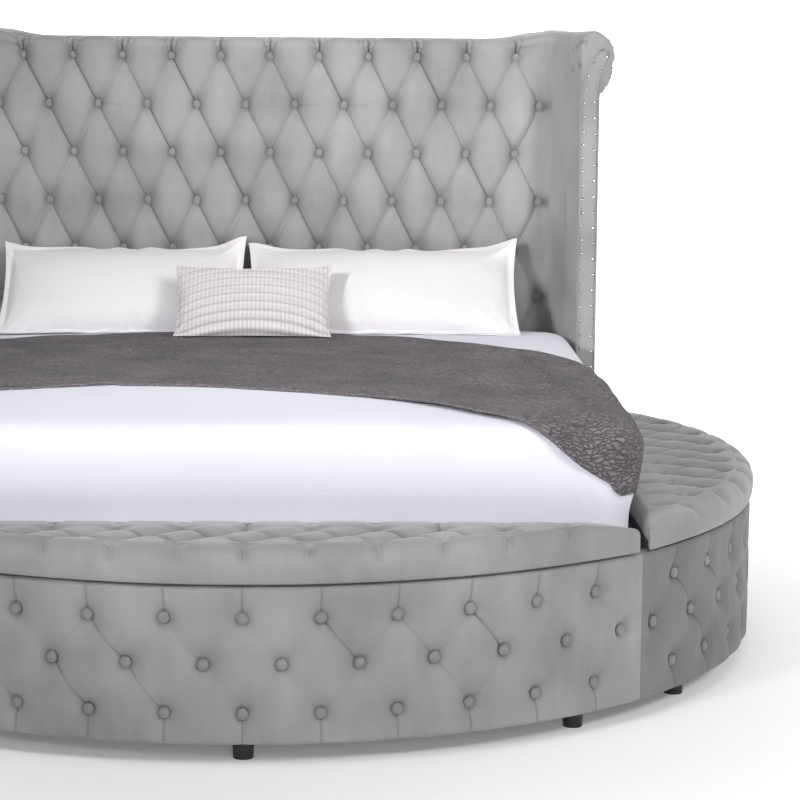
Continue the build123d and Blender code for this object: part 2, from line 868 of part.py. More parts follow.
def runner_plan():
    """Runner seen from above: both edges swing to the foot towards its right end."""
    reach = well_half
    back = [(reach * share, runner_back_edge - runner_back_swing * swing) for share, swing in runner_back_shares]
    front = [(reach * share, -runner_front_edge - runner_front_swing * swing) for share, swing in runner_front_shares]
    return back + front[::-1]


def runner_profile(grow):
    """Closed outline over the coverlet, from one hem across the top to the other."""
    right = [point for point in coverlet_outline(grow) if point[1] > runner_hem_height]
    right.insert(0, (right[0][0], runner_hem_height))
    left = [(-half_width, height) for half_width, height in reversed(right)]
    return right + left


with BuildPart() as runner:
    with BuildSketch(Plane.XZ.offset(-runner_back_edge)):
        with BuildLine():
            Polyline(*runner_profile(cloth_gap + runner_thickness), close=True)
        make_face()
        with BuildLine():
            Polyline(*runner_profile(cloth_gap), close=True)
        make_face(mode=Mode.SUBTRACT)
    extrude(amount=runner_back_edge + runner_front_edge + runner_front_swing)
    with BuildSketch(Plane.XY.offset(runner_hem_height)):
        with BuildLine():
            Polyline(*runner_plan(), close=True)
        make_face()
    extrude(amount=mattress_thickness, mode=Mode.INTERSECT)
keep(runner.part, "runner")


def pillow_sag(width, level):
    """How far a pillow's side is drawn in between its corners at a share of its half thickness."""
    return width * pillow_sag_share * (1 - pillow_sag_turn_share * abs(level))


def pillow(place, tilt, width, height, thickness, rest):
    """Crowned pillow with sides drawn in between its corners, leaning back and lying on its lower edge."""
    lean = radians(tilt)
    lowest = 0.0
    for level, size in pillow_level_shares:
        up_half = height / 2 * size - min(0.0, pillow_sag(width, level))
        lowest = max(lowest, up_half * sin(lean) + thickness / 2 * level * cos(lean))
    middle = Plane((*place, rest + lowest), x_dir=(1, 0, 0), z_dir=(0, -sin(lean), cos(lean)))
    levels = [(-level, size) for level, size in pillow_level_shares]
    levels += [(level, size) for level, size in reversed(pillow_level_shares)]
    with BuildPart() as solid:
        for level, size in levels:
            across_half = width / 2 * size
            up_half = height / 2 * size
            sag = pillow_sag(width, level)
            corners = [
                (-across_half, -up_half),
                (across_half, -up_half),
                (across_half, up_half),
                (-across_half, up_half),
            ]
            middles = [(0, sag - up_half), (across_half - sag, 0), (0, up_half - sag), (sag - across_half, 0)]
            with BuildSketch(middle.offset(level * thickness / 2)):
                with BuildLine():
                    for index, through in enumerate(middles):
                        ThreePointArc(corners[index], through, corners[(index + 1) % 4])
                make_face()
        loft(ruled=True)
    return solid.part


pillow_rest = mattress_top + coverlet_crown + cloth_gap
cushion_rest = pillow_rest + runner_thickness + 2 * cloth_gap
for label, side, width in (
    ("right_pillow", right_pillow_side, right_pillow_width),
    ("left_pillow", left_pillow_side, left_pillow_width),
):
    place = (side, pillow_back)
    keep(pillow(place, pillow_tilt, width, pillow_height, pillow_thickness, pillow_rest), label)
cushion_place = (cushion_side, headboard_front - cushion_before_headboard)
keep(
    pillow(cushion_place, cushion_tilt, cushion_width, cushion_height, cushion_thickness, cushion_rest),
    "accent_cushion",
)


# Headboard


def wing_plane(side, gap):
    """Inner face of a wing, moved in by a gap. Its Z axis points outward, side is 1 or -1."""
    flare = radians(wing_flare)
    return Plane((side * (wing_inner - gap), wing_front, 0), z_dir=(side * cos(flare), sin(flare), 0))


def headboard_section(quarter):
    """Outline of the tufted pad from back to front, over the top and down the back of the frame."""
    top_row = headboard_top - headboard_top_row
    face = []
    for half_row in range(headboard_half_rows):
        height = top_row - headboard_row_pitch / 2 * half_row
        face.append((headboard_front + headboard_tuft_depth * tuft_share(quarter, half_row), height))
    pleat = headboard_tuft_depth * edge_share(quarter, 0)
    roll = headboard_roll
    return [
        (headboard_pad_back, headboard_board_top + joint_gap),
        (headboard_frame_back, headboard_board_top + joint_gap),
        (headboard_frame_back, headboard_top - roll / 2),
        (headboard_frame_back - roll / 2, headboard_top - pleat / 4),
        (headboard_front + 2 * roll, headboard_top - pleat / 4),
        (headboard_front + roll, headboard_top - pleat / 4 - roll / 12),
        (headboard_front + roll / 3 + pleat / 2, headboard_top - roll / 2),
        (headboard_front + pleat, headboard_top - roll),
        *face,
        (headboard_front, headboard_pad_bottom + roll),
        (headboard_front + roll / 3, headboard_pad_bottom + roll / 3),
        (headboard_front + roll, headboard_pad_bottom),
        (headboard_pad_back, headboard_pad_bottom),
    ]


with BuildPart() as headboard_pad:
    last = int(wing_inner / headboard_column_pitch * 4)
    for quarter in range(-last, last + 1):
        with BuildSketch(Plane.YZ.offset(quarter * headboard_column_pitch / 4)):
            with BuildLine():
                Polyline(*headboard_section(quarter), close=True)
            make_face()
    loft(ruled=True)
    split(bisect_by=wing_plane(1, joint_gap), keep=Keep.BOTTOM)
    split(bisect_by=wing_plane(-1, joint_gap), keep=Keep.BOTTOM)
keep(headboard_pad.part, "headboard_pad")


def headboard_button_planes():
    planes = []
    seat = headboard_front + headboard_tuft_depth - seat_gap
    for row in range(headboard_rows):
        height = headboard_top - headboard_top_row - headboard_row_pitch * row
        halves = int(2 * headboard_button_reach / headboard_column_pitch)
        reach = (halves - (halves + row) % 2) / 2
        for step in range(int(2 * reach) + 1):
            across_bed = (step - reach) * headboard_column_pitch
            planes.append(Plane((across_bed, seat, height), z_dir=(0, -1, 0)))
    return planes


headboard_button = covered_button(headboard_tuft_depth, headboard_column_pitch, headboard_row_pitch)
keep(group_of(headboard_button, headboard_button_planes()), "headboard_buttons")


def upright_board(half_width, front, thickness, low, high):
    """Flat board of the headboard, square to the bed."""
    with BuildPart() as board:
        with BuildSketch(Plane.XY.offset(low)):
            with Locations((0, front + thickness / 2)):
                Rectangle(2 * half_width, thickness)
        extrude(amount=high - low)
    return board.part


keep(
    upright_board(headboard_half, headboard_pad_back, headboard_board_thickness, floor_gap, headboard_board_top),
    "headboard_board",
)
keep(
    upright_board(headboard_half, headboard_frame_back, headboard_cover_thickness, floor_gap, headboard_board_top),
    "headboard_back_cover",
)
keep(
    upright_board(
        headboard_half,
        headboard_pad_back - lower_cover_thickness,
        lower_cover_thickness,
        headboard_pad_bottom - lower_cover_height,
        headboard_pad_bottom,
    ),
    "headboard_lower_cover",
)

frame_middle = headboard_frame_front + headboard_frame_thickness / 2
stile_out = headboard_half - stile_width / 2
with BuildPart() as headboard_stiles:
    with BuildSketch(Plane.XY.offset(floor_gap)):
        with Locations((-stile_out, frame_middle), (0, frame_middle), (stile_out, frame_middle)):
            Rectangle(stile_width, headboard_frame_thickness)
    extrude(amount=headboard_height)
keep(headboard_stiles.part, "headboard_stiles")

frame_rail_length = stile_out - stile_width
frame_rail_middle = stile_out / 2
frame_rail_rise = (headboard_height - frame_rail_width) / 2
with BuildPart() as headboard_frame_rails:
    for level in range(3):
        with BuildSketch(Plane.XY.offset(floor_gap + level * frame_rail_rise)):
            with Locations((-frame_rail_middle, frame_middle), (frame_rail_middle, frame_middle)):
                Rectangle(frame_rail_length, headboard_frame_thickness)
        extrude(amount=frame_rail_width)
keep(headboard_frame_rails.part, "headboard_frame_rails")

# Wings: a flat padded panel that flares forward and rolls outward at its top
flare_direction = Vector(-sin(radians(wing_flare)), cos(radians(wing_flare)), 0)
wing_outer = wing_inner + wing_thickness
wing_run = (headboard_back - wing_front) / cos(radians(wing_flare))
scroll_top = (wing_inner + wing_roll, wing_top)
scroll_side = (wing_outer + wing_scroll_reach, wing_top - wing_scroll_belly)


def wing_core_outline():
    """Rectangle of the wing's board, for a sketch whose axes are across the bed and up."""
    inset = wing_core_inset
    tall = wing_core_top - floor_gap
    with Locations(((wing_inner + wing_outer) / 2, floor_gap + tall / 2)):
        Rectangle(wing_thickness - 2 * inset, tall)


front_plane = Plane((0, wing_front, 0), x_dir=(1, 0, 0), z_dir=(0, -1, 0))
core_front = wing_front + wing_core_inset
core_shift = wing_core_inset * tan(radians(wing_flare))
core_plane = Plane((-core_shift, core_front, 0), x_dir=(1, 0, 0), z_dir=(0, -1, 0))
core_run = (headboard_back - wing_core_inset - core_front) / cos(radians(wing_flare))

with BuildPart() as right_wing_board:
    with BuildSketch(core_plane):
        wing_core_outline()
    extrude(amount=core_run, dir=flare_direction)

with BuildPart() as right_wing_pad:
    with BuildSketch(front_plane):
        with BuildLine():
            start = (wing_inner, wing_top - wing_roll)
            reach_share, belly_share = scroll_over_shares
            over = (wing_outer + wing_scroll_reach * reach_share, wing_top - wing_scroll_belly * belly_share)
            reach_share, belly_share = scroll_under_shares
            under = (wing_outer + wing_scroll_reach * reach_share, wing_top - wing_scroll_belly * belly_share)
            finish = (wing_outer, wing_top - wing_scroll_drop)
            Polyline(finish, (wing_outer, floor_gap), (wing_inner, floor_gap), start)
            RadiusArc(start, scroll_top, wing_roll)
            ThreePointArc(scroll_top, over, scroll_side)
            ThreePointArc(scroll_side, under, finish)
        make_face()
    extrude(amount=wing_run, dir=flare_direction)
    add(right_wing_board.part, mode=Mode.SUBTRACT)

facing_inner = wing_inner + facing_margin
facing_outer = wing_outer
facing_tip = (facing_inner + facing_lean, facing_bend + facing_rise)
facing_nose = (facing_tip[0] + facing_tip_width, facing_tip[1] - facing_tip_width)


def facing_inner_curve(margin):
    """Inner edge of the facing from its bend to its tip, moved in by a margin."""
    start = (facing_inner + margin, facing_bend)
    lean_share, rise_share = facing_inner_shares
    through = (start[0] + facing_lean * lean_share, facing_bend + facing_rise * rise_share - margin / 2)
    finish = (facing_tip[0] + margin / 4, facing_tip[1] - margin)
    return start, through, finish


def facing_outer_curve(margin):
    """Outer edge of the facing from its bend to its nose, moved in by a margin."""
    start = (facing_outer - margin, facing_bend)
    lean_share, rise_share = facing_outer_shares
    through = (start[0] + facing_lean * lean_share, facing_bend + facing_rise * rise_share)
    finish = (facing_nose[0] - margin, facing_nose[1])
    return start, through, finish


with BuildPart() as right_wing_facing:
    with BuildSketch(front_plane):
        with BuildLine():
            Polyline(
                facing_inner_curve(0)[0],
                (facing_inner, floor_gap),
                (facing_outer, floor_gap),
                facing_outer_curve(0)[0],
            )
            ThreePointArc(*facing_outer_curve(0))
            corner_cut = facing_tip_width * facing_corner_share
            tip_corner = (facing_nose[0] - corner_cut, facing_tip[1] - corner_cut)
            ThreePointArc(facing_nose, tip_corner, facing_tip)
            ThreePointArc(*reversed(facing_inner_curve(0)))
        make_face()
    extrude(amount=facing_thickness)


def nail_places():
    """Nailhead centres up both edges of the facing and round its scroll."""
    low = floor_gap + nail_inner_pitch
    places = []
    runs = (
        (facing_inner_curve(nail_margin), nail_inner_pitch),
        (facing_outer_curve(nail_margin), nail_outer_pitch),
    )
    for (start, through, finish), pitch in runs:
        with BuildLine() as route:
            Line((start[0], low), start)
            ThreePointArc(start, through, finish)
        wire = route.wire()
        count = int(wire.length / pitch)
        for step in range(count + 1):
            places.append(wire.position_at(step / count))
    face = wing_front - facing_thickness
    return [Plane((place.X, face, place.Y), z_dir=(0, -1, 0)) for place in places]


with BuildPart() as nail:
    with BuildSketch(Plane.XZ):
        with BuildLine():
            Polyline((0, nail_height), (0, 0), (nail_radius, 0))
            RadiusArc((nail_radius, 0), (0, nail_height), -dome_radius(nail_radius, nail_height))
        make_face()
    revolve(axis=Axis.Z)
right_nails = group_of(nail.part, nail_places())

with BuildPart() as wing_nailheads:
    add(right_nails)
    mirror(about=Plane.YZ)
keep(wing_nailheads.part, "wing_nailheads")

for label, solid in (
    ("wing_board", right_wing_board.part),
    ("wing_pad", right_wing_pad.part),
    ("wing_facing", right_wing_facing.part),
):
    keep(solid, f"right_{label}")
    with BuildPart() as mirrored:
        add(mirror(solid, about=Plane.YZ, mode=Mode.PRIVATE))
    keep(mirrored.part, f"left_{label}")

foot_middle = headboard_back - foot_top_radius
wing_foot_out = (wing_inner + wing_outer) / 2 - wing_foot_back * tan(radians(wing_flare))
headboard_foot_places = [
    (side * out, back) for side in (-1, 1) for out, back in (
        (wing_foot_out, wing_front + wing_foot_back),
        (stile_out, foot_middle),
    )
]
keep(group_of(foot.part, headboard_foot_places), "headboard_feet")
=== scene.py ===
from math import asin, atan2, cos, hypot, pi, radians, sin, sqrt, tan

import bmesh
import bpy
import numpy as np
from mathutils import Matrix, Vector


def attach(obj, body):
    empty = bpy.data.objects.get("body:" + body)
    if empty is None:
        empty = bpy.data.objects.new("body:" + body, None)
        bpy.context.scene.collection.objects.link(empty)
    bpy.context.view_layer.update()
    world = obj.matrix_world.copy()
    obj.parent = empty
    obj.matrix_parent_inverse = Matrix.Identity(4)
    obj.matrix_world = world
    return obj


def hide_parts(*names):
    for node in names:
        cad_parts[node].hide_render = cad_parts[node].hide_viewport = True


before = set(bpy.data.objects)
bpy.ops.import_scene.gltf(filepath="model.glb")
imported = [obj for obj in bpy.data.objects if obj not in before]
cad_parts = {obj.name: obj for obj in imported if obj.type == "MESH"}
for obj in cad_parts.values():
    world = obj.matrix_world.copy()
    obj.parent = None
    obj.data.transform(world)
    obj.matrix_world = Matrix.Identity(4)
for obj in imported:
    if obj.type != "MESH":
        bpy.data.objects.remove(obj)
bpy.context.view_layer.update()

# A round storage bed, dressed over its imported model.
# Lengths are metres, +Z is up, the foot is towards -Y.
# A bench is drawn in its own frame: along its straight edge, and out from the bed.

# Sizes
bench_radius = 1.42
wall_base = 0.05
wall_top = 0.436
wall_back = 1.3843
wall_depth = 0.024
wall_roll = 0.012
wall_pitch = 0.1904
wall_rows = (0.358, 0.245, 0.124)
head_end = 0.877
corner_gap = 0.0005

lid_radius = 1.428
lid_inner = 1.02
lid_base = 0.442
lid_rim = 0.443
lid_board_top = 0.46
lid_board_radius = 1.3965
lid_width = lid_radius - lid_inner
lid_inner_crown = 0.08
lid_outer_crown = 0.095
lid_swell = 0.005
lid_depth = 0.034
lid_pitch = 0.16
lid_roll = 0.046
lid_inner_roll = 0.03
lid_full_width = 0.13
lid_tip_width = 0.006
lid_tip_drop = 0.022
lid_end_roll = 0.018
lid_row_room = 0.04
lid_row_shares = (0.745, 0.54, 0.31)
lid_rows = tuple(lid_inner + lid_width * share for share in lid_row_shares)

headboard_front = 1.128
headboard_depth = 0.04
headboard_pad_back = 1.21
headboard_frame_back = 1.262
headboard_board_top = 1.6905
headboard_bottom = 0.545
headboard_top = 1.72
headboard_roll = 0.034
headboard_top_row = 1.657
headboard_row_pitch = 0.1592
headboard_column_pitch = 0.1624
headboard_rows = 7
headboard_columns = 5
headboard_edge = 0.938
headboard_last_column = 0.897
sweep_end = 1.045

wing_front = 0.95
wing_inner = 1.012
wing_thickness = 0.056
wing_outer = wing_inner + wing_thickness
wing_flare = radians(22.5)
wing_back = 1.266
wing_top = 1.747
wing_roll = 0.05
wing_bottom = 0.05
facing_front = 0.946
facing_inner = 1.014
facing_outer = 1.068
facing_bend = 1.524

mattress_half = 0.965
mattress_head = 1.065
mattress_low = 0.42
mattress_high = 0.745
mattress_corner = 0.07
mattress_edge = 0.04
coverlet_head = 0.96
coverlet_corner = 0.078
coverlet_thickness = 0.004
coverlet_profile = (
    (0.973, 0.462), (0.9751, 0.529), (0.9877, 0.590), (0.994, 0.639), (0.994, 0.691),
    (0.9852, 0.7213), (0.9646, 0.7457), (0.9352, 0.7579), (0.8764, 0.764), (0.70, 0.767),
)
runner_thickness = 0.008
runner_lift = 0.0003
runner_drop = 1.2

button_radius = 0.0148


# Lines and shares


def smooth_step(low, high, values):
    """Zero below a low place, one above a high one and smooth between them."""
    part = np.clip((values - low) / (high - low), 0, 1)
    return part * part * (3 - 2 * part)


def bell(values, width):
    """One at zero, falling away on both sides over a width."""
    return np.exp(-((values / width) ** 2))


def off_whole(values):
    """How far numbers are from the nearest whole number."""
    return np.abs(values - np.round(values))


def chance(first, second):
    """A fixed number from 0 to 1 for two whole numbers."""
    mixed = np.sin(np.asarray(first) * 12.9898 + np.asarray(second) * 78.233) * 43758.5453
    return mixed - np.floor(mixed)


def unit(vectors):
    """Vectors of length one."""
    return vectors / np.maximum(np.linalg.norm(vectors, axis=-1, keepdims=True), 1e-9)


def run_of(points):
    """Distance along a line of points, at each of them."""
    return np.concatenate([[0], np.cumsum(np.linalg.norm(np.diff(points, axis=0), axis=1))])


def through(points, count):
    """Smooth line through points, as that many points at even steps of its knots."""
    points = np.asarray(points, float)
    padded = np.concatenate([2 * points[:1] - points[1:2], points, 2 * points[-1:] - points[-2:-1]])
    steps = np.linspace(0, len(points) - 1, count)
    start = np.minimum(steps.astype(int), len(points) - 2)
    part = (steps - start)[:, None]
    a, b, c, d = (padded[start + shift] for shift in range(4))
    return 0.5 * (
        2 * b + (c - a) * part + (2 * a - 5 * b + 4 * c - d) * part**2 + (3 * b - a - 3 * c + d) * part**3
    )


def even(points, count):
    """The same line with its points at even distances."""
    reach = run_of(points)
    wanted = np.linspace(0, reach[-1], count)
    return np.stack([np.interp(wanted, reach, points[:, axis]) for axis in range(points.shape[1])], -1)


def arc_through(start, middle, finish, count):
    """Points on the arc through three points of a plane."""
    (ax, ay), (bx, by), (cx, cy) = start, middle, finish
    factor = 2 * (ax * (by - cy) + bx * (cy - ay) + cx * (ay - by))
    a2, b2, c2 = ax * ax + ay * ay, bx * bx + by * by, cx * cx + cy * cy
    ux = (a2 * (by - cy) + b2 * (cy - ay) + c2 * (ay - by)) / factor
    uy = (a2 * (cx - bx) + b2 * (ax - cx) + c2 * (bx - ax)) / factor
    radius = hypot(ax - ux, ay - uy)
    first = atan2(ay - uy, ax - ux)
    turn_middle = (atan2(by - uy, bx - ux) - first) % (2 * pi)
    turn = (atan2(cy - uy, cx - ux) - first) % (2 * pi)
    if turn_middle > turn:
        turn -= 2 * pi
    angles = first + np.linspace(0, turn, count)
    return np.stack([ux + radius * np.cos(angles), uy + radius * np.sin(angles)], -1)


# Meshes from grids of points


def grid_triangles(rows, columns, closed, falling=None):
    """Triangles between neighbouring points. Falling says where the first diagonal is the cell's cut."""
    index = np.arange(rows * columns).reshape(rows, columns)
    if closed:
        index = np.concatenate([index, index[:, :1]], axis=1)
    low, low_next, high, high_next = index[:-1, :-1], index[:-1, 1:], index[1:, :-1], index[1:, 1:]
    if falling is None:
        falling = np.ones(low.shape, bool)
    cut = falling[: low.shape[0], : low.shape[1], None]
    pairs = (
        ((low, high, high_next), (low, high, low_next)),
        ((low, high_next, low_next), (high, high_next, low_next)),
    )
    halves = [np.where(cut, np.stack(one, -1), np.stack(other, -1)) for one, other in pairs]
    return np.concatenate([half.reshape(-1, 3) for half in halves])


def new_object(name, points, faces, material, values=None, sharp=None, merge=None):
    """A smooth shaded object from points and faces. Values are named numbers at its points."""
    mesh = bpy.data.meshes.new(name)
    mesh.from_pydata(np.asarray(points).reshape(-1, 3).tolist(), [], [list(map(int, face)) for face in faces])
    for key, numbers in (values or {}).items():
        layer = mesh.attributes.new(key, "FLOAT", "POINT")
        layer.data.foreach_set("value", np.asarray(numbers, np.float32).ravel())
    work = bmesh.new()
    work.from_mesh(mesh)
    if merge:
        bmesh.ops.remove_doubles(work, verts=work.verts, dist=merge)
        bmesh.ops.dissolve_degenerate(work, edges=work.edges, dist=merge / 4)
    bmesh.ops.recalc_face_normals(work, faces=work.faces)
    work.to_mesh(mesh)
    work.free()
    mesh.polygons.foreach_set("use_smooth", [True] * len(mesh.polygons))
    if sharp:
        mesh.set_sharp_from_angle(angle=radians(sharp))
    mesh.materials.append(material)
    piece = bpy.data.objects.new(name, mesh)
    bpy.context.scene.collection.objects.link(piece)
    return piece


def lofted(name, loops, material, values=None, falling=None, sharp=None):
    """Closed solid through closed loops of points, capped at both ends."""
    rows, columns = loops.shape[:2]
    last = (rows - 1) * columns
    faces = list(grid_triangles(rows, columns, True, falling))
    faces += [range(columns), range(last + columns - 1, last - 1, -1)]
    return new_object(name, loops, faces, material, values, sharp)


def two_sided(name, outer, inner, material, values=None, sharp=None, merge=None):
    """Closed object from two grids of points, joined round their edges. Values are pairs, one a side."""
    rows, columns = outer.shape[:2]
    count = rows * columns
    facing = grid_triangles(rows, columns, False)
    index = np.arange(count).reshape(rows, columns)
    ring = np.concatenate([index[0, :-1], index[:-1, -1], index[-1, :0:-1], index[:0:-1, 0]])
    following = np.roll(ring, -1)
    edges = np.stack([ring, following, following + count, ring + count], -1)
    faces = [*facing, *(facing[:, ::-1] + count), *edges]
    both = {key: np.concatenate([side.ravel() for side in pair]) for key, pair in (values or {}).items()}
    return new_object(name, np.stack([outer, inner]), faces, material, both, sharp, merge)


def grid_normals(surface):
    """Normals of a surface that is a grid of points."""
    return unit(np.cross(np.gradient(surface, axis=0), np.gradient(surface, axis=1)))


def tube(name, path, radius, material, sides=8):
    """Round cord along a path of points, closed at both ends."""
    tangent = unit(np.gradient(path, axis=0))
    side = unit(np.cross(tangent, (0.0, 1.0, 0.0)))
    other = np.cross(tangent, side)
    turns = np.linspace(0, 2 * pi, sides, endpoint=False)[None, :, None]
    loops = path[:, None] + radius * np.cos(turns) * side[:, None] + radius * np.sin(turns) * other[:, None]
    return lofted(name, loops, material, sharp=60)


def dress(piece, slot, body, *nodes):
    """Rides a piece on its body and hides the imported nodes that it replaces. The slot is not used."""
    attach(piece, body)
    if nodes:
        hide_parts(*nodes)
    return piece


# Materials

colour_a = 6
colour_b = 7
colour_result = 2


def toned(colour, share):
    """A colour made lighter or darker."""
    return tuple(share * part for part in colour)


class Look:
    """A material in the making: its shader, and the nodes that are added to it."""

    def __init__(self, name, colour, roughness):
        self.material = bpy.data.materials.new(name)
        self.material.use_nodes = True
        self.tree = self.material.node_tree
        self.shader = self.tree.nodes["Principled BSDF"]
        self.feed({"Base Color": (*colour, 1), "Roughness": roughness})

    def feed(self, inputs, node=None):
        """Sets a node's inputs, or links them where the value is another node's output."""
        for key, value in inputs.items():
            socket = (node or self.shader).inputs[key]
            if isinstance(value, bpy.types.NodeSocket):
                self.tree.links.new(value, socket)
            else:
                socket.default_value = value

    def add(self, kind, inputs, result=0, **settings):
        """Adds a node with its settings and inputs, and gives one of its outputs."""
        node = self.tree.nodes.new(f"ShaderNode{kind}")
        for key, value in settings.items():
            setattr(node, key, value)
        self.feed(inputs, node)
        return node.outputs[result]

    def place(self, scale=(1, 1, 1)):
        """Object coordinates, stretched along the axes."""
        return self.add("Mapping", {"Vector": self.add("TexCoord", {}, "Object"), "Scale": scale})

    def noise(self, place, scale, detail=2.0, roughness=0.5, result="Fac"):
        """Soft random pattern."""
        inputs = {"Vector": place, "Scale": scale, "Detail": detail, "Roughness": roughness}
        return self.add("TexNoise", inputs, result)

    def ramp(self, value, *stops):
        """Colours at places from 0 to 1. A single number stands for a grey."""
        output = self.add("ValToRGB", {"Fac": value})
        elements = output.node.color_ramp.elements
        while len(elements) < len(stops):
            elements.new(0.5)
        for element, (place, colour) in zip(elements, stops):
            element.position = place
            element.color = (*(colour if isinstance(colour, tuple) else (colour,) * 3), 1)
        return output

    def mix(self, share, first, second, kind="MIX"):
        """One colour turned into another by a share."""
        inputs = {0: share, colour_a: first, colour_b: second}
        return self.add("Mix", inputs, colour_result, data_type="RGBA", blend_type=kind)

    def times(self, first, *others):
        """One colour multiplied by others."""
        for other in others:
            first = self.mix(1.0, first, other, "MULTIPLY")
        return first

    def value(self, name):
        """A named number of the mesh's points."""
        return self.add("Attribute", {}, "Fac", attribute_name=name)

    def emboss(self, height, strength, distance):
        """Adds bumps to those that the shader has."""
        inputs = {"Strength": strength, "Distance": distance, "Height": height}
        for link in self.shader.inputs["Normal"].links:
            inputs["Normal"] = link.from_socket
        self.feed({"Normal": self.add("Bump", inputs)})


def velvet_material(name, colour, sheen):
    """Brushed velvet: soft patches of nap, fine pile and painted shade where its fold value is high."""
    look = Look(name, colour, 0.85)
    place = look.place()
    broad = look.noise(place, 3.2, 3.0, 0.55)
    streaks = look.noise(look.place((9, 9, 2.2)), 2.0, 3.0, 0.6)
    pile = look.noise(place, 900.0, 2.0, 0.7)
    patches = look.ramp(broad, (0.3, toned(colour, 0.8)), (0.5, colour), (0.72, toned(colour, 1.2)))
    brushed = look.ramp(streaks, (0.3, 0.94), (0.7, 1.05))
    flecks = look.ramp(pile, (0.35, 0.93), (0.65, 1.06))
    cloth = look.times(patches, brushed, flecks)
    look.feed({
        # Painted shade: the fold value darkens the cloth in creases, pleats and button pits.
        "Base Color": look.mix(look.value("fold"), cloth, (*toned(colour, 0.28), 1)),
        "Sheen Weight": sheen,
        "Sheen Roughness": 0.45,
        "Sheen Tint": (0.95, 0.94, 0.96, 1),
        "Specular IOR Level": 0.2,
    })
    look.emboss(pile, 0.25, 0.0006)
    look.emboss(broad, 0.3, 0.004)
    return look.material


def cotton_material(name, colour, shade, weave=700.0, crumple=0.35):
    """Plain woven cotton with a fine weave and faint crumples."""
    look = Look(name, colour, 0.9)
    place = look.place()
    soft = look.noise(place, 2.6, 3.0, 0.5)
    threads = {"Scale": weave / 6, "Distortion": 0.6, "Vector": place}
    waves = [look.add("TexWave", threads, "Fac", bands_direction=turn) for turn in ("X", "Y")]
    woven = look.add("Math", dict(enumerate(waves)), operation="MULTIPLY")
    cloth = look.ramp(soft, (0.3, shade), (0.65, colour))
    look.feed({"Base Color": cloth, "Sheen Weight": 0.15, "Specular IOR Level": 0.25})
    look.emboss(woven, 0.25, 0.0006)
    look.emboss(look.noise(place, 9.0, 4.0, 0.55), crumple, 0.01)
    return look.material


def quilted_material(name, colour):
    """Matelasse throw: small puffed cells between lines of stitching, brushed, faded and painted with their
    shade.
    """
    look = Look(name, colour, 0.9)
    place = look.place()
    sway = look.noise(place, 14.0, result="Color")
    shift = look.add("VectorMath", {0: sway, "Scale": 0.05}, operation="SCALE")
    bent = look.add("VectorMath", {0: place, 1: shift}, operation="ADD")
    long = look.add("Mapping", {"Vector": bent, "Scale": (46, 92, 92)})
    cells = look.add("TexVoronoi", {"Vector": long, "Scale": 1.0}, "Distance", feature="DISTANCE_TO_EDGE")
    puff = look.ramp(cells, (0.0, 0.0), (0.12, 0.65), (0.4, 1.0))
    fine = look.noise(place, 260.0, 3.0, 0.6)
    lighter = tuple(min(1.0, part) for part in toned(colour, 1.35))
    faded = look.noise(place, 5.0, 3.0, 0.6)
    brushed = look.ramp(faded, (0.3, toned(colour, 0.72)), (0.5, colour), (0.75, lighter))
    # Painted shade darkens the stitched lines and painted light brightens the middles of the puffs.
    stitched = look.ramp(cells, (0.0, 0.5), (0.12, 0.95), (0.5, 1.22))
    specks = look.ramp(fine, (0.35, 0.85), (0.65, 1.15))
    cloth = look.mix(look.value("edge"), look.times(brushed, stitched, specks), (*lighter, 1))
    look.feed({"Base Color": cloth, "Sheen Weight": 0.14, "Specular IOR Level": 0.2})
    look.emboss(puff, 1.0, 0.008)
    look.emboss(fine, 0.3, 0.0015)
    return look.material


def pleated_material(name, colour):
    """Accent cushion cotton with faint lengthways threads and painted shade under its tucks."""
    look = Look(name, colour, 0.88)
    striped = look.ramp(look.value("stripe"), (0.3, toned(colour, 0.8)), (0.7, colour))
    # Painted shade from the fold value, under each tuck.
    cloth = look.mix(look.value("fold"), striped, (*toned(colour, 0.5), 1))
    look.feed({"Base Color": cloth, "Sheen Weight": 0.25, "Specular IOR Level": 0.2})
    look.emboss(look.noise(look.place(), 420.0, 2.0, 0.6), 0.3, 0.001)
    return look.material


def wood_material(name, light, dark, roughness=0.55, grain=(3, 45, 45)):
    """Wood with long grain and pores."""
    look = Look(name, light, roughness)
    figure = look.noise(look.place(grain), 1.6, 5.0, 0.6)
    pores = look.noise(look.place(toned(grain, 4)), 5.0, 2.0, 0.6)
    board = look.ramp(figure, (0.3, dark), (0.65, light))
    look.feed({"Base Color": look.times(board, look.ramp(pores, (0.35, 0.88), (0.6, 1.04)))})
    look.emboss(pores, 0.25, 0.0008)
    return look.material


def metal_material(name, colour, roughness, scale=60.0):
    """Metal with faint uneven polish."""
    look = Look(name, colour, roughness)
    wear = look.noise(look.place(), scale, 3.0, 0.6)
    look.feed({
        "Metallic": 1.0,
        "Roughness": look.ramp(wear, (0.3, roughness * 0.75), (0.7, roughness * 1.3)),
        "Base Color": look.ramp(wear, (0.2, toned(colour, 0.88)), (0.8, colour)),
    })
    return look.material


def painted_material(name, colour, roughness):
    """Plain surface with a slight texture: paint, rubber or dull cloth."""
    look = Look(name, colour, roughness)
    uneven = look.noise(look.place(), 40.0, 3.0, 0.6)
    look.feed({"Base Color": look.ramp(uneven, (0.3, colour), (0.75, toned(colour, 1.25)))})
    look.emboss(uneven, 0.2, 0.001)
    return look.material


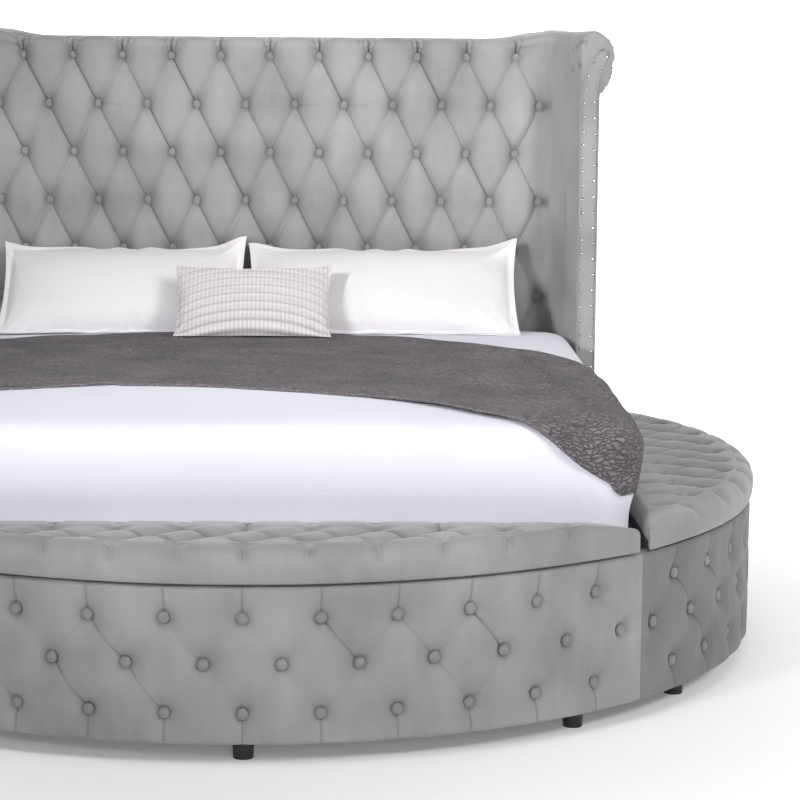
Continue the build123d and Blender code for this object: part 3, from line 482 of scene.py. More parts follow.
velvet = velvet_material("velvet", (0.272, 0.266, 0.268), 0.36)
# A darker copy of the velvet with less sheen, for the side walls: painted shade.
shaded_side_velvet = velvet_material("shaded_side_velvet", (0.19, 0.185, 0.189), 0.15)
# A darker copy of the velvet for the covered buttons: painted shade, as they sit down in their pits.
shaded_button_velvet = velvet_material("shaded_button_velvet", (0.215, 0.21, 0.213), 0.4)
cotton_white = cotton_material("cotton_white", (0.69, 0.69, 0.765), (0.67, 0.67, 0.745))
pillow_cotton = cotton_material("pillow_cotton", (0.66, 0.645, 0.665), (0.62, 0.605, 0.625), 900.0, 0.5)
quilted = quilted_material("quilted_throw", (0.162, 0.147, 0.158))
pleated = pleated_material("pleated_cotton", (0.62, 0.585, 0.6))
knitted = cotton_material("mattress_knit", (0.8, 0.79, 0.77), (0.76, 0.75, 0.73), 300.0, 0.2)
back_cloth = painted_material("back_cloth", (0.1, 0.097, 0.095), 0.95)
# Dark lining: partly real lining cloth, partly painted shade where boards and slats show in the gaps.
lining_and_gap_shade = painted_material("lining_and_gap_shade", (0.06, 0.058, 0.058), 0.95)
plywood = wood_material("plywood", (0.52, 0.36, 0.2), (0.4, 0.26, 0.13))
pine = wood_material("pine", (0.58, 0.42, 0.24), (0.46, 0.3, 0.15), 0.6, (2, 30, 30))
dark_foot = painted_material("dark_foot", (0.012, 0.009, 0.008), 0.3)
zinc = metal_material("zinc", (0.55, 0.56, 0.58), 0.35)
chrome = metal_material("nail_chrome", (0.5, 0.495, 0.49), 0.24, 200.0)
rubber = painted_material("rubber", (0.02, 0.02, 0.02), 0.8)


# Tufting

crease_width = 0.0022
pleat_width = 0.0035
pleat_step = 0.009
pleat_spread = 0.018
scallop_width = 0.034
button_crown = 0.0056
button_pucker = 0.0005
button_sides = 20
button_profile = (
    (0.35, 0.0053), (0.62, 0.0044), (0.82, 0.0029), (0.94, 0.0006),
    (1.0, -0.0025), (0.97, -0.006), (0.8, -0.012),
)
button_rings = len(button_profile)


def button_lattice(width_place, depth_place, pitch, rows):
    """Offsets and distance to the nearest button, and its column and row. Even rows have whole columns."""
    best = None
    for row, place in enumerate(rows):
        shifted = width_place / pitch - row % 2 / 2
        column = np.round(shifted)
        across = (shifted - column) * pitch
        along = depth_place - place
        reach = np.hypot(across, along)
        if best is None:
            best = [across, along, reach, column, np.zeros_like(reach)]
        else:
            nearer = reach < best[2]
            for slot, value in enumerate((across, along, reach, column, np.full_like(reach, row))):
                best[slot] = np.where(nearer, value, best[slot])
    return best


def row_number(depth_place, rows):
    """Rows counted from the first one, carried on evenly beyond the first and the last."""
    places = np.array(rows)
    way = np.sign(places[-1] - places[0])
    before = places[0] - 9 * (places[1] - places[0])
    after = places[-1] + 9 * (places[-1] - places[-2])
    known = np.concatenate([[before], places, [after]])
    numbers = np.concatenate([[-9], np.arange(len(rows)), [len(rows) + 8]])
    return np.interp(way * depth_place, way * known, numbers)


def tufted(width_place, depth_place, pitch, rows, fold, pleat, spread, soft=0.06, level=0.35, fan=0.0):
    """Relief of diamond tufting: how low a point lies as a share of the tuft depth, and its fold shade.

    Fold is the height of the folds as a share, pleat the depth of the pleats beyond the outer rows, and
    spread how far from a row they take over, in rows. The second diagonal is the softer one: soft rounds
    its bottom and level raises it. Fan is how fast the pleats part.
    """
    columns = width_place / pitch
    number = row_number(depth_place, rows)
    last = len(rows) - 1
    held = np.clip(number, 0, last)
    p = columns - held / 2
    q = columns + held / 2
    row_pitch = abs(rows[1] - rows[0])
    steep = hypot(1 / pitch, 0.5 / row_pitch)
    u = np.abs(np.sin(pi * p))
    v = np.abs(np.sin(pi * q))
    round_v = v * v / (v * v + soft) * (1 + soft)
    ridge = u**0.8 + round_v - u**0.8 * round_v
    crown = u**0.5 * (level + (1 - level) * round_v)
    full = 0.93 + 0.14 * chance(np.floor(p), np.floor(q))
    height = fold * ridge + (full - fold) * crown
    strength = 0.3 + 0.6 * chance(np.round(p), np.floor(q))
    faint = np.clip(0.9 * chance(np.floor(p), np.round(q) + 40) - 0.6, 0, 1)
    shade = bell(off_whole(p) / steep, crease_width) * strength
    shade = shade + bell(off_whole(q) / steep, crease_width) * faint
    outside = np.maximum(-number, number - last)
    share = smooth_step(0.0, spread, outside)
    centre = off_whole(columns - (last % 2) * 0.5 * (number > last / 2)) * pitch
    parted = 1 + fan * np.maximum(outside, 0) * row_pitch / pleat_spread
    bundle = sum(
        weight * np.exp(-np.abs(centre - order * pleat_step * parted) / pleat_width)
        for order, weight in enumerate((1.0, 0.7, 0.3))
    )
    scallop = 0.3 * (fan > 0) * bell(centre, scallop_width)
    height = height * (1 - share) + share * (1 - pleat * np.minimum(bundle, 1.0) - scallop)
    shade = shade * (1 - share) + share * 0.45 * np.minimum(bundle, 1.0) ** 3
    return 1 - height, np.clip(shade, 0, 1)


def gathers(lattice, folds, near, reach, upward):
    """Short wrinkles that run out from a button, as a height from -1 to 1."""
    across, along, distance, column, row = lattice
    turn = np.arctan2(across, along)
    luck = chance(column * 3 + 7, row * 5 + 11)
    wave = np.cos(turn * folds + 6.28 * luck)
    ring = bell(distance - near, reach)
    lean = 1 - upward + upward * np.clip(np.cos(turn), 0, 1)
    return wave * ring * lean * (0.4 + 0.6 * luck)


def near_button(lattice, radius):
    """Shade at the foot of a button's pit."""
    return np.exp(-((lattice[2] / radius) ** 4))


def button_faces():
    """Faces of one button: its crown, the rings down its side and its back."""
    ring = np.arange(button_sides)
    following = np.roll(ring, -1)
    faces = [(0, 1 + step, 1 + after) for step, after in zip(ring, following)]
    for base in 1 + button_sides * np.arange(button_rings - 1):
        below = base + button_sides
        faces += [(base + a, below + a, below + b, base + b) for a, b in zip(ring, following)]
    return faces + [tuple(1 + (button_rings - 1) * button_sides + ring)]


def covered_buttons(name, places, material):
    """Domed covered buttons, each with a gathered rim, at places given as centre and outward direction."""
    turns = np.linspace(0, 2 * pi, button_sides, endpoint=False)
    share, height = np.array(button_profile).T[..., None]
    # Painted shade on the rim's lower rings, where a button sinks into its pit, carried as the fold value.
    rim = np.clip((share - 0.93) * 6, 0, 1) * (height < 0)
    one = button_faces()
    points = []
    faces = []
    for number, (centre, outward) in enumerate(places):
        outward = unit(np.asarray(outward, float))
        side = unit(np.cross((0.0, 0.0, 1.0) if abs(outward[2]) < 0.9 else (0.0, 1.0, 0.0), outward))
        pucker = button_pucker * share**3 * np.cos(turns * 7 + 5 * chance(number, 3))
        reach = button_radius * share * (1 + 12 * pucker)
        local = np.stack([reach * np.cos(turns), reach * np.sin(turns), height + pucker], -1).reshape(-1, 3)
        local = np.concatenate([[(0.0, 0.0, button_crown)], local])
        faces += [[corner + number * len(local) for corner in face] for face in one]
        points.append(np.asarray(centre) + local @ np.array([side, np.cross(outward, side), outward]))
    folds = np.concatenate([[0.0], np.repeat(rim, button_sides)])
    return new_object(name, points, faces, material, {"fold": np.tile(folds, len(places))}, 50)


# Headboard pad

headboard_row_places = [headboard_top_row - headboard_row_pitch * row for row in range(headboard_rows)]
face_step = headboard_row_pitch / 18
across_step = headboard_column_pitch / 50
end_stations = 26
top_steps = (0.012, 0.026, 0.045, 0.065)
back_heights = (1.4, 1.1, 0.8)
pit_depth = 0.013
pit_radius = 0.034
pit_shade_radius = 0.036
wrinkle_height = 0.0014
crease_depth = 0.0022
level_crease_depth = 0.0015
button_sink = 0.001
wing_clearance = 0.0006
sweep_pull = 0.045
end_climb = 0.025


def headboard_profile():
    """Plain section of the pad: depth and height, from its lower front edge round to its foot."""
    roll = headboard_roll
    back_roll = roll / 2
    middle = headboard_front + roll
    face_low = headboard_bottom + roll
    face_high = headboard_top - roll
    low_turns = np.linspace(-pi / 2, 0, 7)
    turns = np.linspace(0, pi / 2, 11)
    back_turns = np.linspace(0, pi / 2, 5)
    low_end = face_low + 0.003
    high_end = face_high - 0.001
    steps = [headboard_top_row + face_step * step for step in range(-160, 30)]
    points = [(middle - roll * cos(turn), face_low + roll * sin(turn)) for turn in low_turns]
    points += [(headboard_front, height) for height in steps if low_end < height < high_end]
    points += [(middle - roll * cos(turn), face_high + roll * sin(turn)) for turn in turns]
    points += [(middle + step, headboard_top) for step in top_steps]
    points += [
        (headboard_frame_back - back_roll * (1 - sin(turn)), headboard_top - back_roll * (1 - cos(turn)))
        for turn in back_turns
    ]
    points += [(headboard_frame_back, headboard_board_top)]
    heights = (headboard_board_top, *back_heights, headboard_bottom)
    points += [(headboard_pad_back, height) for height in heights]
    return np.array(points + [((headboard_pad_back + middle) / 2, headboard_bottom)])


def wing_face_at(depth):
    """How far from the middle the wing's inner face is at a depth."""
    return wing_inner - (depth - wing_front) * tan(wing_flare)


def headboard_relief(x, height):
    """Dent and painted fold shade of the pad's face, and which diagonal cuts each cell."""
    pitch = headboard_column_pitch
    columns = x / pitch
    sunk, shade = tufted(x, height, pitch, headboard_row_places, 0.44, 0.4, 0.16, 0.06, 0.45, 0.36)
    lattice = button_lattice(x, height, pitch, headboard_row_places)
    number = row_number(height, headboard_row_places)
    column_middle = (np.floor(columns - number / 2) + np.floor(columns + number / 2) + 1) / 2
    smooth = np.abs(column_middle) > headboard_columns + 0.4
    held = np.maximum(number, 0)
    p = columns - held / 2
    q = columns + held / 2
    u = np.abs(np.sin(pi * p))
    v = np.abs(np.sin(pi * q))
    past_last = np.abs(columns) - headboard_columns
    plain = 0.46 * (u**0.9 + v**0.9 - (u * v) ** 0.9)
    plain = np.where((number < 0) & (past_last > 0.5), 0.46, plain)
    above = smooth_step(0.0, 0.42, -number) * smooth_step(0.0, 0.3, past_last)
    sunk = np.where(smooth, 1 - plain * (1 - above) - above, sunk)
    second = bell((number - 1) * headboard_row_pitch, crease_width)
    lucky = 0.5 * (chance(lattice[3] + 5, lattice[4]) > 0.72)
    beside = smooth_step(0.06, 0.12, np.abs(lattice[0]) / pitch) * (lattice[0] > 0)
    level_crease = second * lucky * beside * ~smooth
    pit = pit_depth * np.exp(-((lattice[2] / pit_radius) ** 1.5)) * np.where(smooth, 0.6, 1.0)
    wrinkle = gathers(lattice, 13, 0.026, 0.011, 0.7)
    dent = headboard_depth * sunk + pit - wrinkle_height * wrinkle + level_crease_depth * level_crease
    # Painted shade round the buttons' pits, added to the painted crease shade as the fold value.
    pit_shade = 0.5 * near_button(lattice, 0.0175) + 0.24 * bell(lattice[2], pit_shade_radius)
    fold = np.clip(shade * 0.9 * ~smooth + pit_shade + 0.3 * level_crease, 0, 1)
    return dent, shade, fold, off_whole(p) > off_whole(q)


def swept(share, start, start_pull, finish_pull, finish):
    """Place along a curve between two ends, each with its pull."""
    rest = 1 - share
    return (
        rest**3 * start + 3 * rest**2 * share * start_pull
        + 3 * rest * share**2 * finish_pull + share**3 * finish
    )


def headboard_pad():
    """Tufted pad: its ends sweep forward into the wings and climb to their tops."""
    profile = headboard_profile()
    count = int(headboard_edge / across_step)
    stations = np.arange(-count, count + 1) * across_step
    stations = stations[np.abs(stations) < headboard_last_column]
    ends = np.linspace(headboard_last_column, headboard_edge, end_stations)
    stations = np.concatenate([-ends[::-1], stations, ends])
    x, height = np.meshgrid(stations, profile[:, 1], indexing="ij")
    depth = np.broadcast_to(profile[:, 0], x.shape).copy()
    dent, shade, fold, falling = headboard_relief(x, height)
    front = (depth < headboard_front + headboard_roll * 1.2) & (height > headboard_bottom + 0.04)
    over = smooth_step(headboard_front + 0.03, headboard_front + 0.1, depth)
    dent += crease_depth * shade * (1 - over)
    rolled = headboard_top - headboard_roll
    rise = np.clip((height - rolled) / headboard_roll, 0, 1)
    dent = np.where(rise > 0, dent * 0.8, dent)
    moved_depth = depth + dent * np.cos(np.arcsin(rise)) * front
    moved_height = height - dent * rise * np.where(height > rolled, 1 - over, 0)
    beyond = np.clip((np.abs(x) - headboard_last_column) / (headboard_edge - headboard_last_column), 0, 1)
    climb = smooth_step(0.74, headboard_edge + 0.02, np.abs(x)) ** 1.5
    moved_height = moved_height + end_climb * climb * smooth_step(1.6, headboard_top, moved_height)
    over_crown = np.clip(moved_height - (wing_top - wing_roll), 0, wing_roll * 0.97)
    fall = wing_roll - np.sqrt(wing_roll**2 - over_crown**2)
    end_x = wing_face_at(sweep_end) - wing_clearance
    swept_x = swept(
        beyond, headboard_last_column, headboard_last_column + sweep_pull,
        end_x - sin(wing_flare) * sweep_pull, end_x,
    )
    swept_y = swept(beyond, moved_depth, moved_depth, sweep_end + cos(wing_flare) * sweep_pull, sweep_end)
    past = np.abs(x) > headboard_last_column
    eased = np.where(past, swept_x, np.abs(x)) + fall * beyond
    eased_depth = np.where(past, swept_y, moved_depth)
    limit = wing_face_at(moved_depth) - wing_clearance
    scaled = np.abs(x) * limit / headboard_edge + fall * beyond
    share = smooth_step(headboard_front + 0.037, headboard_front + 0.08, moved_depth)
    moved_x = np.sign(x) * (eased * (1 - share) + scaled * share)
    loops = np.stack([moved_x, eased_depth * (1 - share) + moved_depth * share, moved_height], -1)
    return lofted("headboard_tufting", loops, velvet, {"fold": fold * front}, falling, 75)


def headboard_button_places():
    """Centres and outward directions of the headboard's covered buttons."""
    places = []
    seat = headboard_front + headboard_depth - button_sink
    for row, height in enumerate(headboard_row_places):
        reach = headboard_columns + row % 2 / 2
        for step in range(int(2 * reach) + 1):
            places.append((((step - reach) * headboard_column_pitch, seat, height), (0, -1, 0)))
    return places


headboard_piece = dress(headboard_pad(), "velvet", "bed", "headboard_pad")
buttons = covered_buttons("headboard_covered_buttons", headboard_button_places(), shaded_button_velvet)
dress(buttons, "button", "bed", "headboard_buttons")


# Headboard wings

wing_side = (1.13, 1.64)
wing_side_bend = (1.1176, 1.717)
wing_under = (wing_outer, 1.53)
wing_under_bend = (1.1114, 1.5699)
wing_front_roll = 0.012
wing_inset = 0.008
gather_height = 0.0042
gather_run = 0.06
billow_heights = (0.0012, 0.001)
wing_crease_depth = 0.0055
scroll_dome = 0.03
scroll_dome_run = 0.045
facing_tip = (1.075, 1.69)
facing_nose = (1.101, 1.664)
facing_inner_bend = (0.01525, 0.0913)
facing_outer_bend = (0.00871, 0.0747)
facing_puff = 0.0032
welt_margin = 0.0015
welt_radius = 0.0028
wing_words = {1: "right", -1: "left"}


def wing_outline():
    """Section of a wing, from the foot of its inner face over the scroll to its outer foot."""
    start = (wing_inner, wing_top - wing_roll)
    crest = (wing_inner + wing_roll, wing_top)
    diagonal = wing_roll * (1 - cos(pi / 4))
    middle = (wing_inner + diagonal, wing_top - diagonal)
    return np.concatenate([
        [(wing_inner, height) for height in np.linspace(wing_bottom, start[1], 110)],
        arc_through(start, middle, crest, 16)[1:],
        arc_through(crest, wing_side_bend, wing_side, 26)[1:],
        arc_through(wing_side, wing_under_bend, wing_under, 26)[1:],
        [(wing_outer, height) for height in np.linspace(wing_under[1], wing_bottom, 90)][1:],
        [(x, wing_bottom) for x in np.linspace(wing_outer, wing_inner, 8)][1:-1],
    ])


def wing_pad(side):
    """Rolled wing of smooth velvet: pleats over its crown and gathers behind its facing."""
    outline = wing_outline()
    along = np.gradient(np.concatenate([outline[-1:], outline, outline[:1]]), axis=0)[1:-1]
    normals = unit(np.stack([along[:, 1], -along[:, 0]], -1))
    if ((outline - outline.mean(axis=0)) * normals).sum() < 0:
        normals = -normals
    run = (wing_back - wing_front) / cos(wing_flare)
    stations = np.concatenate([
        np.linspace(0, wing_front_roll, 5), np.linspace(0.016, 0.15, 34), np.linspace(0.156, run, 30),
    ])
    reach = run_of(outline)
    crest_reach = wing_top - wing_roll - wing_bottom + 0.02
    across, height = outline.T
    scroll = smooth_step(1.5, 1.56, height) * smooth_step(wing_outer - 0.01, wing_outer + 0.02, across)
    loops = []
    folds = []
    for station in stations:
        edge = max(0.0, 1 - station / wing_front_roll)
        inset = wing_inset * (1 - sqrt(1 - edge**2))
        gather = (
            0.6 * np.sin(reach * 2 * pi / 0.0123 + 2.1 * np.sin(reach * 37) + 9 * station)
            + 0.5 * np.sin(reach * 2 * pi / 0.0071 + 1.3 * np.sin(reach * 61) - 13 * station)
        ) * scroll
        gather = gather * (gather_height * np.exp(-station / gather_run) * min(1.0, 0.3 + station / 0.01))
        billow = (
            billow_heights[0] * np.sin(reach * 9.0 + station * 14)
            + billow_heights[1] * np.sin(reach * 23.0 - station * 21)
        )
        crease = sum(
            bell(reach - (crest_reach - back - station * lean), pleat_width) * max(0.0, 1 - station / length)
            for back, lean, length in ((0.0, 0.55, 0.16), (0.075, 0.35, 0.13))
        )
        turned = max(0.0, 1 - station / scroll_dome_run)
        dome = scroll_dome * (1 - sqrt(1 - turned**2)) * scroll
        lift = gather + billow * (1 - edge) - inset - dome - wing_crease_depth * crease
        loops.append(np.stack([
            side * (across + normals[:, 0] * lift - sin(wing_flare) * station),
            np.full(len(outline), wing_front) + cos(wing_flare) * station,
            height + normals[:, 1] * lift,
        ], -1))
        # Painted shade in the creases over the crown and in the hollows of the gathers, as the fold value.
        folds.append(np.clip(0.9 * crease + 110 * np.maximum(-gather, 0), 0, 1))
    name = f"{wing_words[side]}_wing_velvet"
    return lofted(name, np.array(loops), velvet, {"fold": np.array(folds)}, None, 60)


def facing_edge(x, bend, tip, count):
    """One edge of the strip on a wing's front, from its foot to its tip."""
    start = (x, facing_bend)
    arc = arc_through(start, (x + bend[0], facing_bend + bend[1]), tip, count // 3)
    return np.concatenate([[(x, height) for height in np.linspace(wing_bottom, facing_bend, count)], arc[1:]])


def facing_edges(margin, count=90):
    """Inner and outer edge of the strip on a wing's front, moved in by a margin."""
    tip = (facing_tip[0], facing_tip[1] - margin)
    nose = (facing_nose[0] - margin, facing_nose[1])
    return (
        facing_edge(facing_inner + margin, facing_inner_bend, tip, count),
        facing_edge(facing_outer - margin, facing_outer_bend, nose, count),
    )


def wing_facing(side):
    """Narrow padded strip down the front of a wing."""
    across = np.linspace(0, 1, 13)
    loops = []
    for low, high in zip(*facing_edges(0.0)):
        line = low[None] * (1 - across[:, None]) + high[None] * across[:, None]
        puff = facing_puff * np.sqrt(np.maximum(0, 1 - (2 * across - 1) ** 6)) + 0.0004 * np.sin(low[1] * 47)
        face = np.stack([side * line[:, 0], facing_front + 0.003 - puff, line[:, 1]], -1)
        back = np.stack([side * line[::-1, 0], np.full(len(line), wing_front - 0.0003), line[::-1, 1]], -1)
        loops.append(np.concatenate([face, back]))
    return lofted(f"{wing_words[side]}_facing_strip", np.array(loops), velvet, None, None, 60)


def wing_welt(side):
    """Piping round the strip on a wing's front."""
    inner, outer = facing_edges(-welt_margin)
    corner = [(facing_nose[0] - 0.004, facing_tip[1] - 0.004)]
    line = np.concatenate([inner, corner, outer[::-1]])
    path = np.stack([side * line[:, 0], np.full(len(line), facing_front + 0.0012), line[:, 1]], -1)
    return tube(f"{wing_words[side]}_facing_welt", path, welt_radius, velvet)


for side, word in wing_words.items():
    pad = dress(wing_pad(side), "velvet", "bed", f"{word}_wing_pad")
    strip = dress(wing_facing(side), "velvet", "bed", f"{word}_wing_facing")
    dress(wing_welt(side), "velvet", "bed")


# Benches

bench_turns = {"foot": 0.0, "right": pi / 2, "left": -pi / 2}
bench_ends = {"foot": (-1.0, 1.0), "right": (-1.0, head_end), "left": (-head_end, 1.0)}
wall_steps = 84
wall_fine_steps = 40
wall_dimple = 0.03
wall_crease_depth = 0.0022
wall_crease_widths = (0.0032, 0.003)
wall_valley_depth = 0.0035
wall_valley_widths = (0.022, 0.03)
wall_pleat_depth = 0.0016
wall_pleat_width = 0.003
wall_pleat_valley_depth = 0.002
wall_pleat_valley_width = 0.02
wall_wrinkle_height = 0.0011
wall_swells = (0.0015, 0.001)
wall_near = 0.06
wall_pit_shade_radius = 0.034
wall_end_room = (0.012, 0.05)
wall_end_turn = radians(2.5)
button_clearance = 0.03
button_pit_shade_radius = 0.0172
lid_station_step = 0.0046
lid_top_points = 88
lid_button_lift = 0.0065
lid_fold_depth = 0.0016
lid_wrinkle_height = 0.0012
lid_pleat_depth = 0.0045
lid_pleat_width = 0.0035
lid_pleat_step = 0.011
lid_second_pleat_width = 0.003
lid_scallop_depth = 0.012
lid_scallop_width = 0.024
lid_pocket_clearance = 0.0005
gather_ring = (0.024, 0.01)


def placed(side, along, out, height):
    """Points of a bench's own frame in the bed's frame."""
    turn = bench_turns[side]
    x = along * cos(turn) + out * sin(turn)
    y = along * sin(turn) - out * cos(turn)
    return np.stack([x, y, height], -1)


def wall_profile():
    """Plain section of a bench wall's padding: radius and height."""
    roll = wall_roll
    turns = np.linspace(0, pi / 2, 7)
    step = (wall_top - wall_base - 2 * roll) / wall_steps
    crest = [(bench_radius - roll + roll * sin(turn), wall_top - roll + roll * cos(turn)) for turn in turns]
    face = [(bench_radius, wall_top - roll - step * number) for number in range(1, wall_steps)]
    foot = [(radius, wall_base + wall_top - height) for radius, height in crest[::-1]]
    back = [(wall_back, height) for height in np.linspace(wall_base, wall_top, 6)]
    return np.array(crest + face + foot + back)


def wall_pad(side):
    """Tufted padding of a bench wall. The side walls take a darker velvet with less sheen: painted shade."""
    profile = wall_profile()
    corner = pi / 4 - corner_gap / bench_radius
    low, high = bench_ends[side]
    first = -corner if low == -1.0 else -asin(head_end / bench_radius)
    last = corner if high == 1.0 else asin(head_end / bench_radius)
    column_angle = wall_pitch / bench_radius
    fine = column_angle / wall_fine_steps
    inside = np.arange(int(first / fine), int(last / fine) + 1) * fine
    inside = inside[(inside > first + fine / 2) & (inside < last - fine / 2)]
    angles = np.concatenate([[first], inside, [last]])
    angle, height = np.meshgrid(angles, profile[:, 1], indexing="ij")
    radius = np.broadcast_to(profile[:, 0], angle.shape).copy()
    arc = angle * bench_radius
    lattice = button_lattice(arc, height, wall_pitch, wall_rows)
    number = row_number(height, wall_rows)
    p = arc / wall_pitch - number / 2
    q = arc / wall_pitch + number / 2
    steep = hypot(1 / wall_pitch, 0.5 / (wall_rows[0] - wall_rows[1]))
    p_line = off_whole(p) / steep
    q_line = off_whole(q) / steep
    held = smooth_step(-0.05, 0.06, number) * smooth_step(2.05, 1.94, number)
    reach_end = np.minimum(angle - first, last - angle) * bench_radius
    room = smooth_step(*wall_end_room, reach_end)
    dimple = np.exp(-((lattice[2] / wall_dimple) ** 1.3))
    near = 0.3 + 0.7 * bell(lattice[2], wall_near)
    strength = np.clip(1.3 * chance(np.round(p), np.floor(q)) - 0.1, 0, 1) * held * near
    faint = 0.25 * chance(np.floor(p) + 9, np.round(q)) * held * near
    crease = bell(p_line, wall_crease_widths[0]) * strength + bell(q_line, wall_crease_widths[1]) * faint
    valley = (bell(p_line, wall_valley_widths[0]) + 0.5 * bell(q_line, wall_valley_widths[1])) * held * near
    column = off_whole(arc / wall_pitch) * wall_pitch
    beyond = smooth_step(-0.05, 0.12, -number) + smooth_step(-0.05, 0.12, number - 2)
    pleat = bell(column, wall_pleat_width) * beyond
    pleat_valley = bell(column, wall_pleat_valley_width) * beyond
    dent = wall_depth * dimple + wall_crease_depth * crease + wall_valley_depth * valley
    dent += wall_pleat_depth * pleat + wall_pleat_valley_depth * pleat_valley
    dent += wall_swells[0] * np.sin(arc * 17 + 2) * np.sin(height * 11)
    dent += wall_swells[1] * np.sin(arc * 41 - height * 23)
    dent += wall_wrinkle_height * gathers(lattice, 9, *gather_ring, 0.6)
    dent *= room
    front = radius > bench_radius - wall_roll * 1.01
    tilt = np.clip((radius - (bench_radius - wall_roll)) / wall_roll, 0, 1)
    moved = radius - np.where(front, dent * tilt, 0)
    drop = np.where(front, (1 - tilt) * 0.4 * dent, 0)
    moved_height = height - drop * np.where(height > 0.2, 1, -1)
    for limit, sign, ending in ((first, -1, low), (last, 1, high)):
        if abs(ending) == 1.0:
            continue
        start = abs(limit) - wall_end_turn
        part = np.clip((sign * angle - start) / (abs(limit) - start), 0, 1)
        goal = np.arcsin(head_end / moved)
        angle = np.where(part > 0, sign * (start + part * (goal - start)), angle)
    loops = placed(side, moved * np.sin(angle), moved * np.cos(angle), moved_height)
    # Painted shade in the button pits, creases and pleats, carried to the velvet as the fold value.
    pit_shade = 0.5 * near_button(lattice, button_pit_shade_radius) + 0.16 * bell(lattice[2], wall_pit_shade_radius)
    fold = np.clip(0.75 * crease + 0.4 * pleat + pit_shade, 0, 1) * front * room
    falling = off_whole(p) < off_whole(q)
    cloth = velvet if side == "foot" else shaded_side_velvet
    return lofted(f"{side}_wall_tufting", loops, cloth, {"fold": fold}, falling, 75)


def wall_button_places():
    """Centres and outward directions of the walls' covered buttons, as covered_buttons takes them."""
    places = []
    column_angle = wall_pitch / bench_radius
    seat = bench_radius - wall_depth * 0.62
    for side in bench_turns:
        low = bench_ends[side][0] + button_clearance
        high = bench_ends[side][1] - button_clearance
        for row, height in enumerate(wall_rows):
            for step in range(-6, 6):
                angle = (row % 2 / 2 + step) * column_angle
                along = (bench_radius - wall_depth) * sin(angle)
                if abs(angle) < pi / 4 and low < along < high:
                    centre = placed(side, seat * sin(angle), seat * cos(angle), height)
                    outward = placed(side, sin(angle), cos(angle), 0.0)
                    places.append((centre, outward))
    return places


def lid_crown(out):
    """Height of the lid's crown at a distance out from the bed."""
    share = (out - lid_inner) / lid_width
    swell = 4 * lid_swell * share * (1 - share)
    return lid_base + lid_inner_crown + (lid_outer_crown - lid_inner_crown) * share + swell


def lid_button_spots(side):
    """Places of the covered buttons on a lid: along and out."""
    low, high = bench_ends[side]
    spots = []
    for row, out in enumerate(lid_rows):
        for step in range(-5, 6):
            along = (row % 2 / 2 + step) * lid_pitch
            if abs(along) > lid_radius:
                continue
            room = sqrt(lid_radius**2 - along**2) - lid_roll - out
            if room >= lid_row_room and low + button_clearance < along < high - button_clearance:
                spots.append((along, out))
    return spots


def lid_surface(along, out):
    """How low the lid's top is dented, and its fold shade."""
    sunk, shade = tufted(along, out, lid_pitch, lid_rows, 0.36, 0.28, 0.45, 0.03, 0.15)
    outer = np.sqrt(lid_radius**2 - along**2)
    fit = np.minimum(1, (outer - lid_inner) / lid_full_width)
    reach = smooth_step(0.0, lid_row_room, outer - lid_roll * fit - out)
    first = smooth_step(lid_rows[0] - 0.012, lid_rows[0] + 0.03, out)
    inside = np.maximum(reach, 0.55 * first * reach)
    return sunk * inside, shade * inside, fit


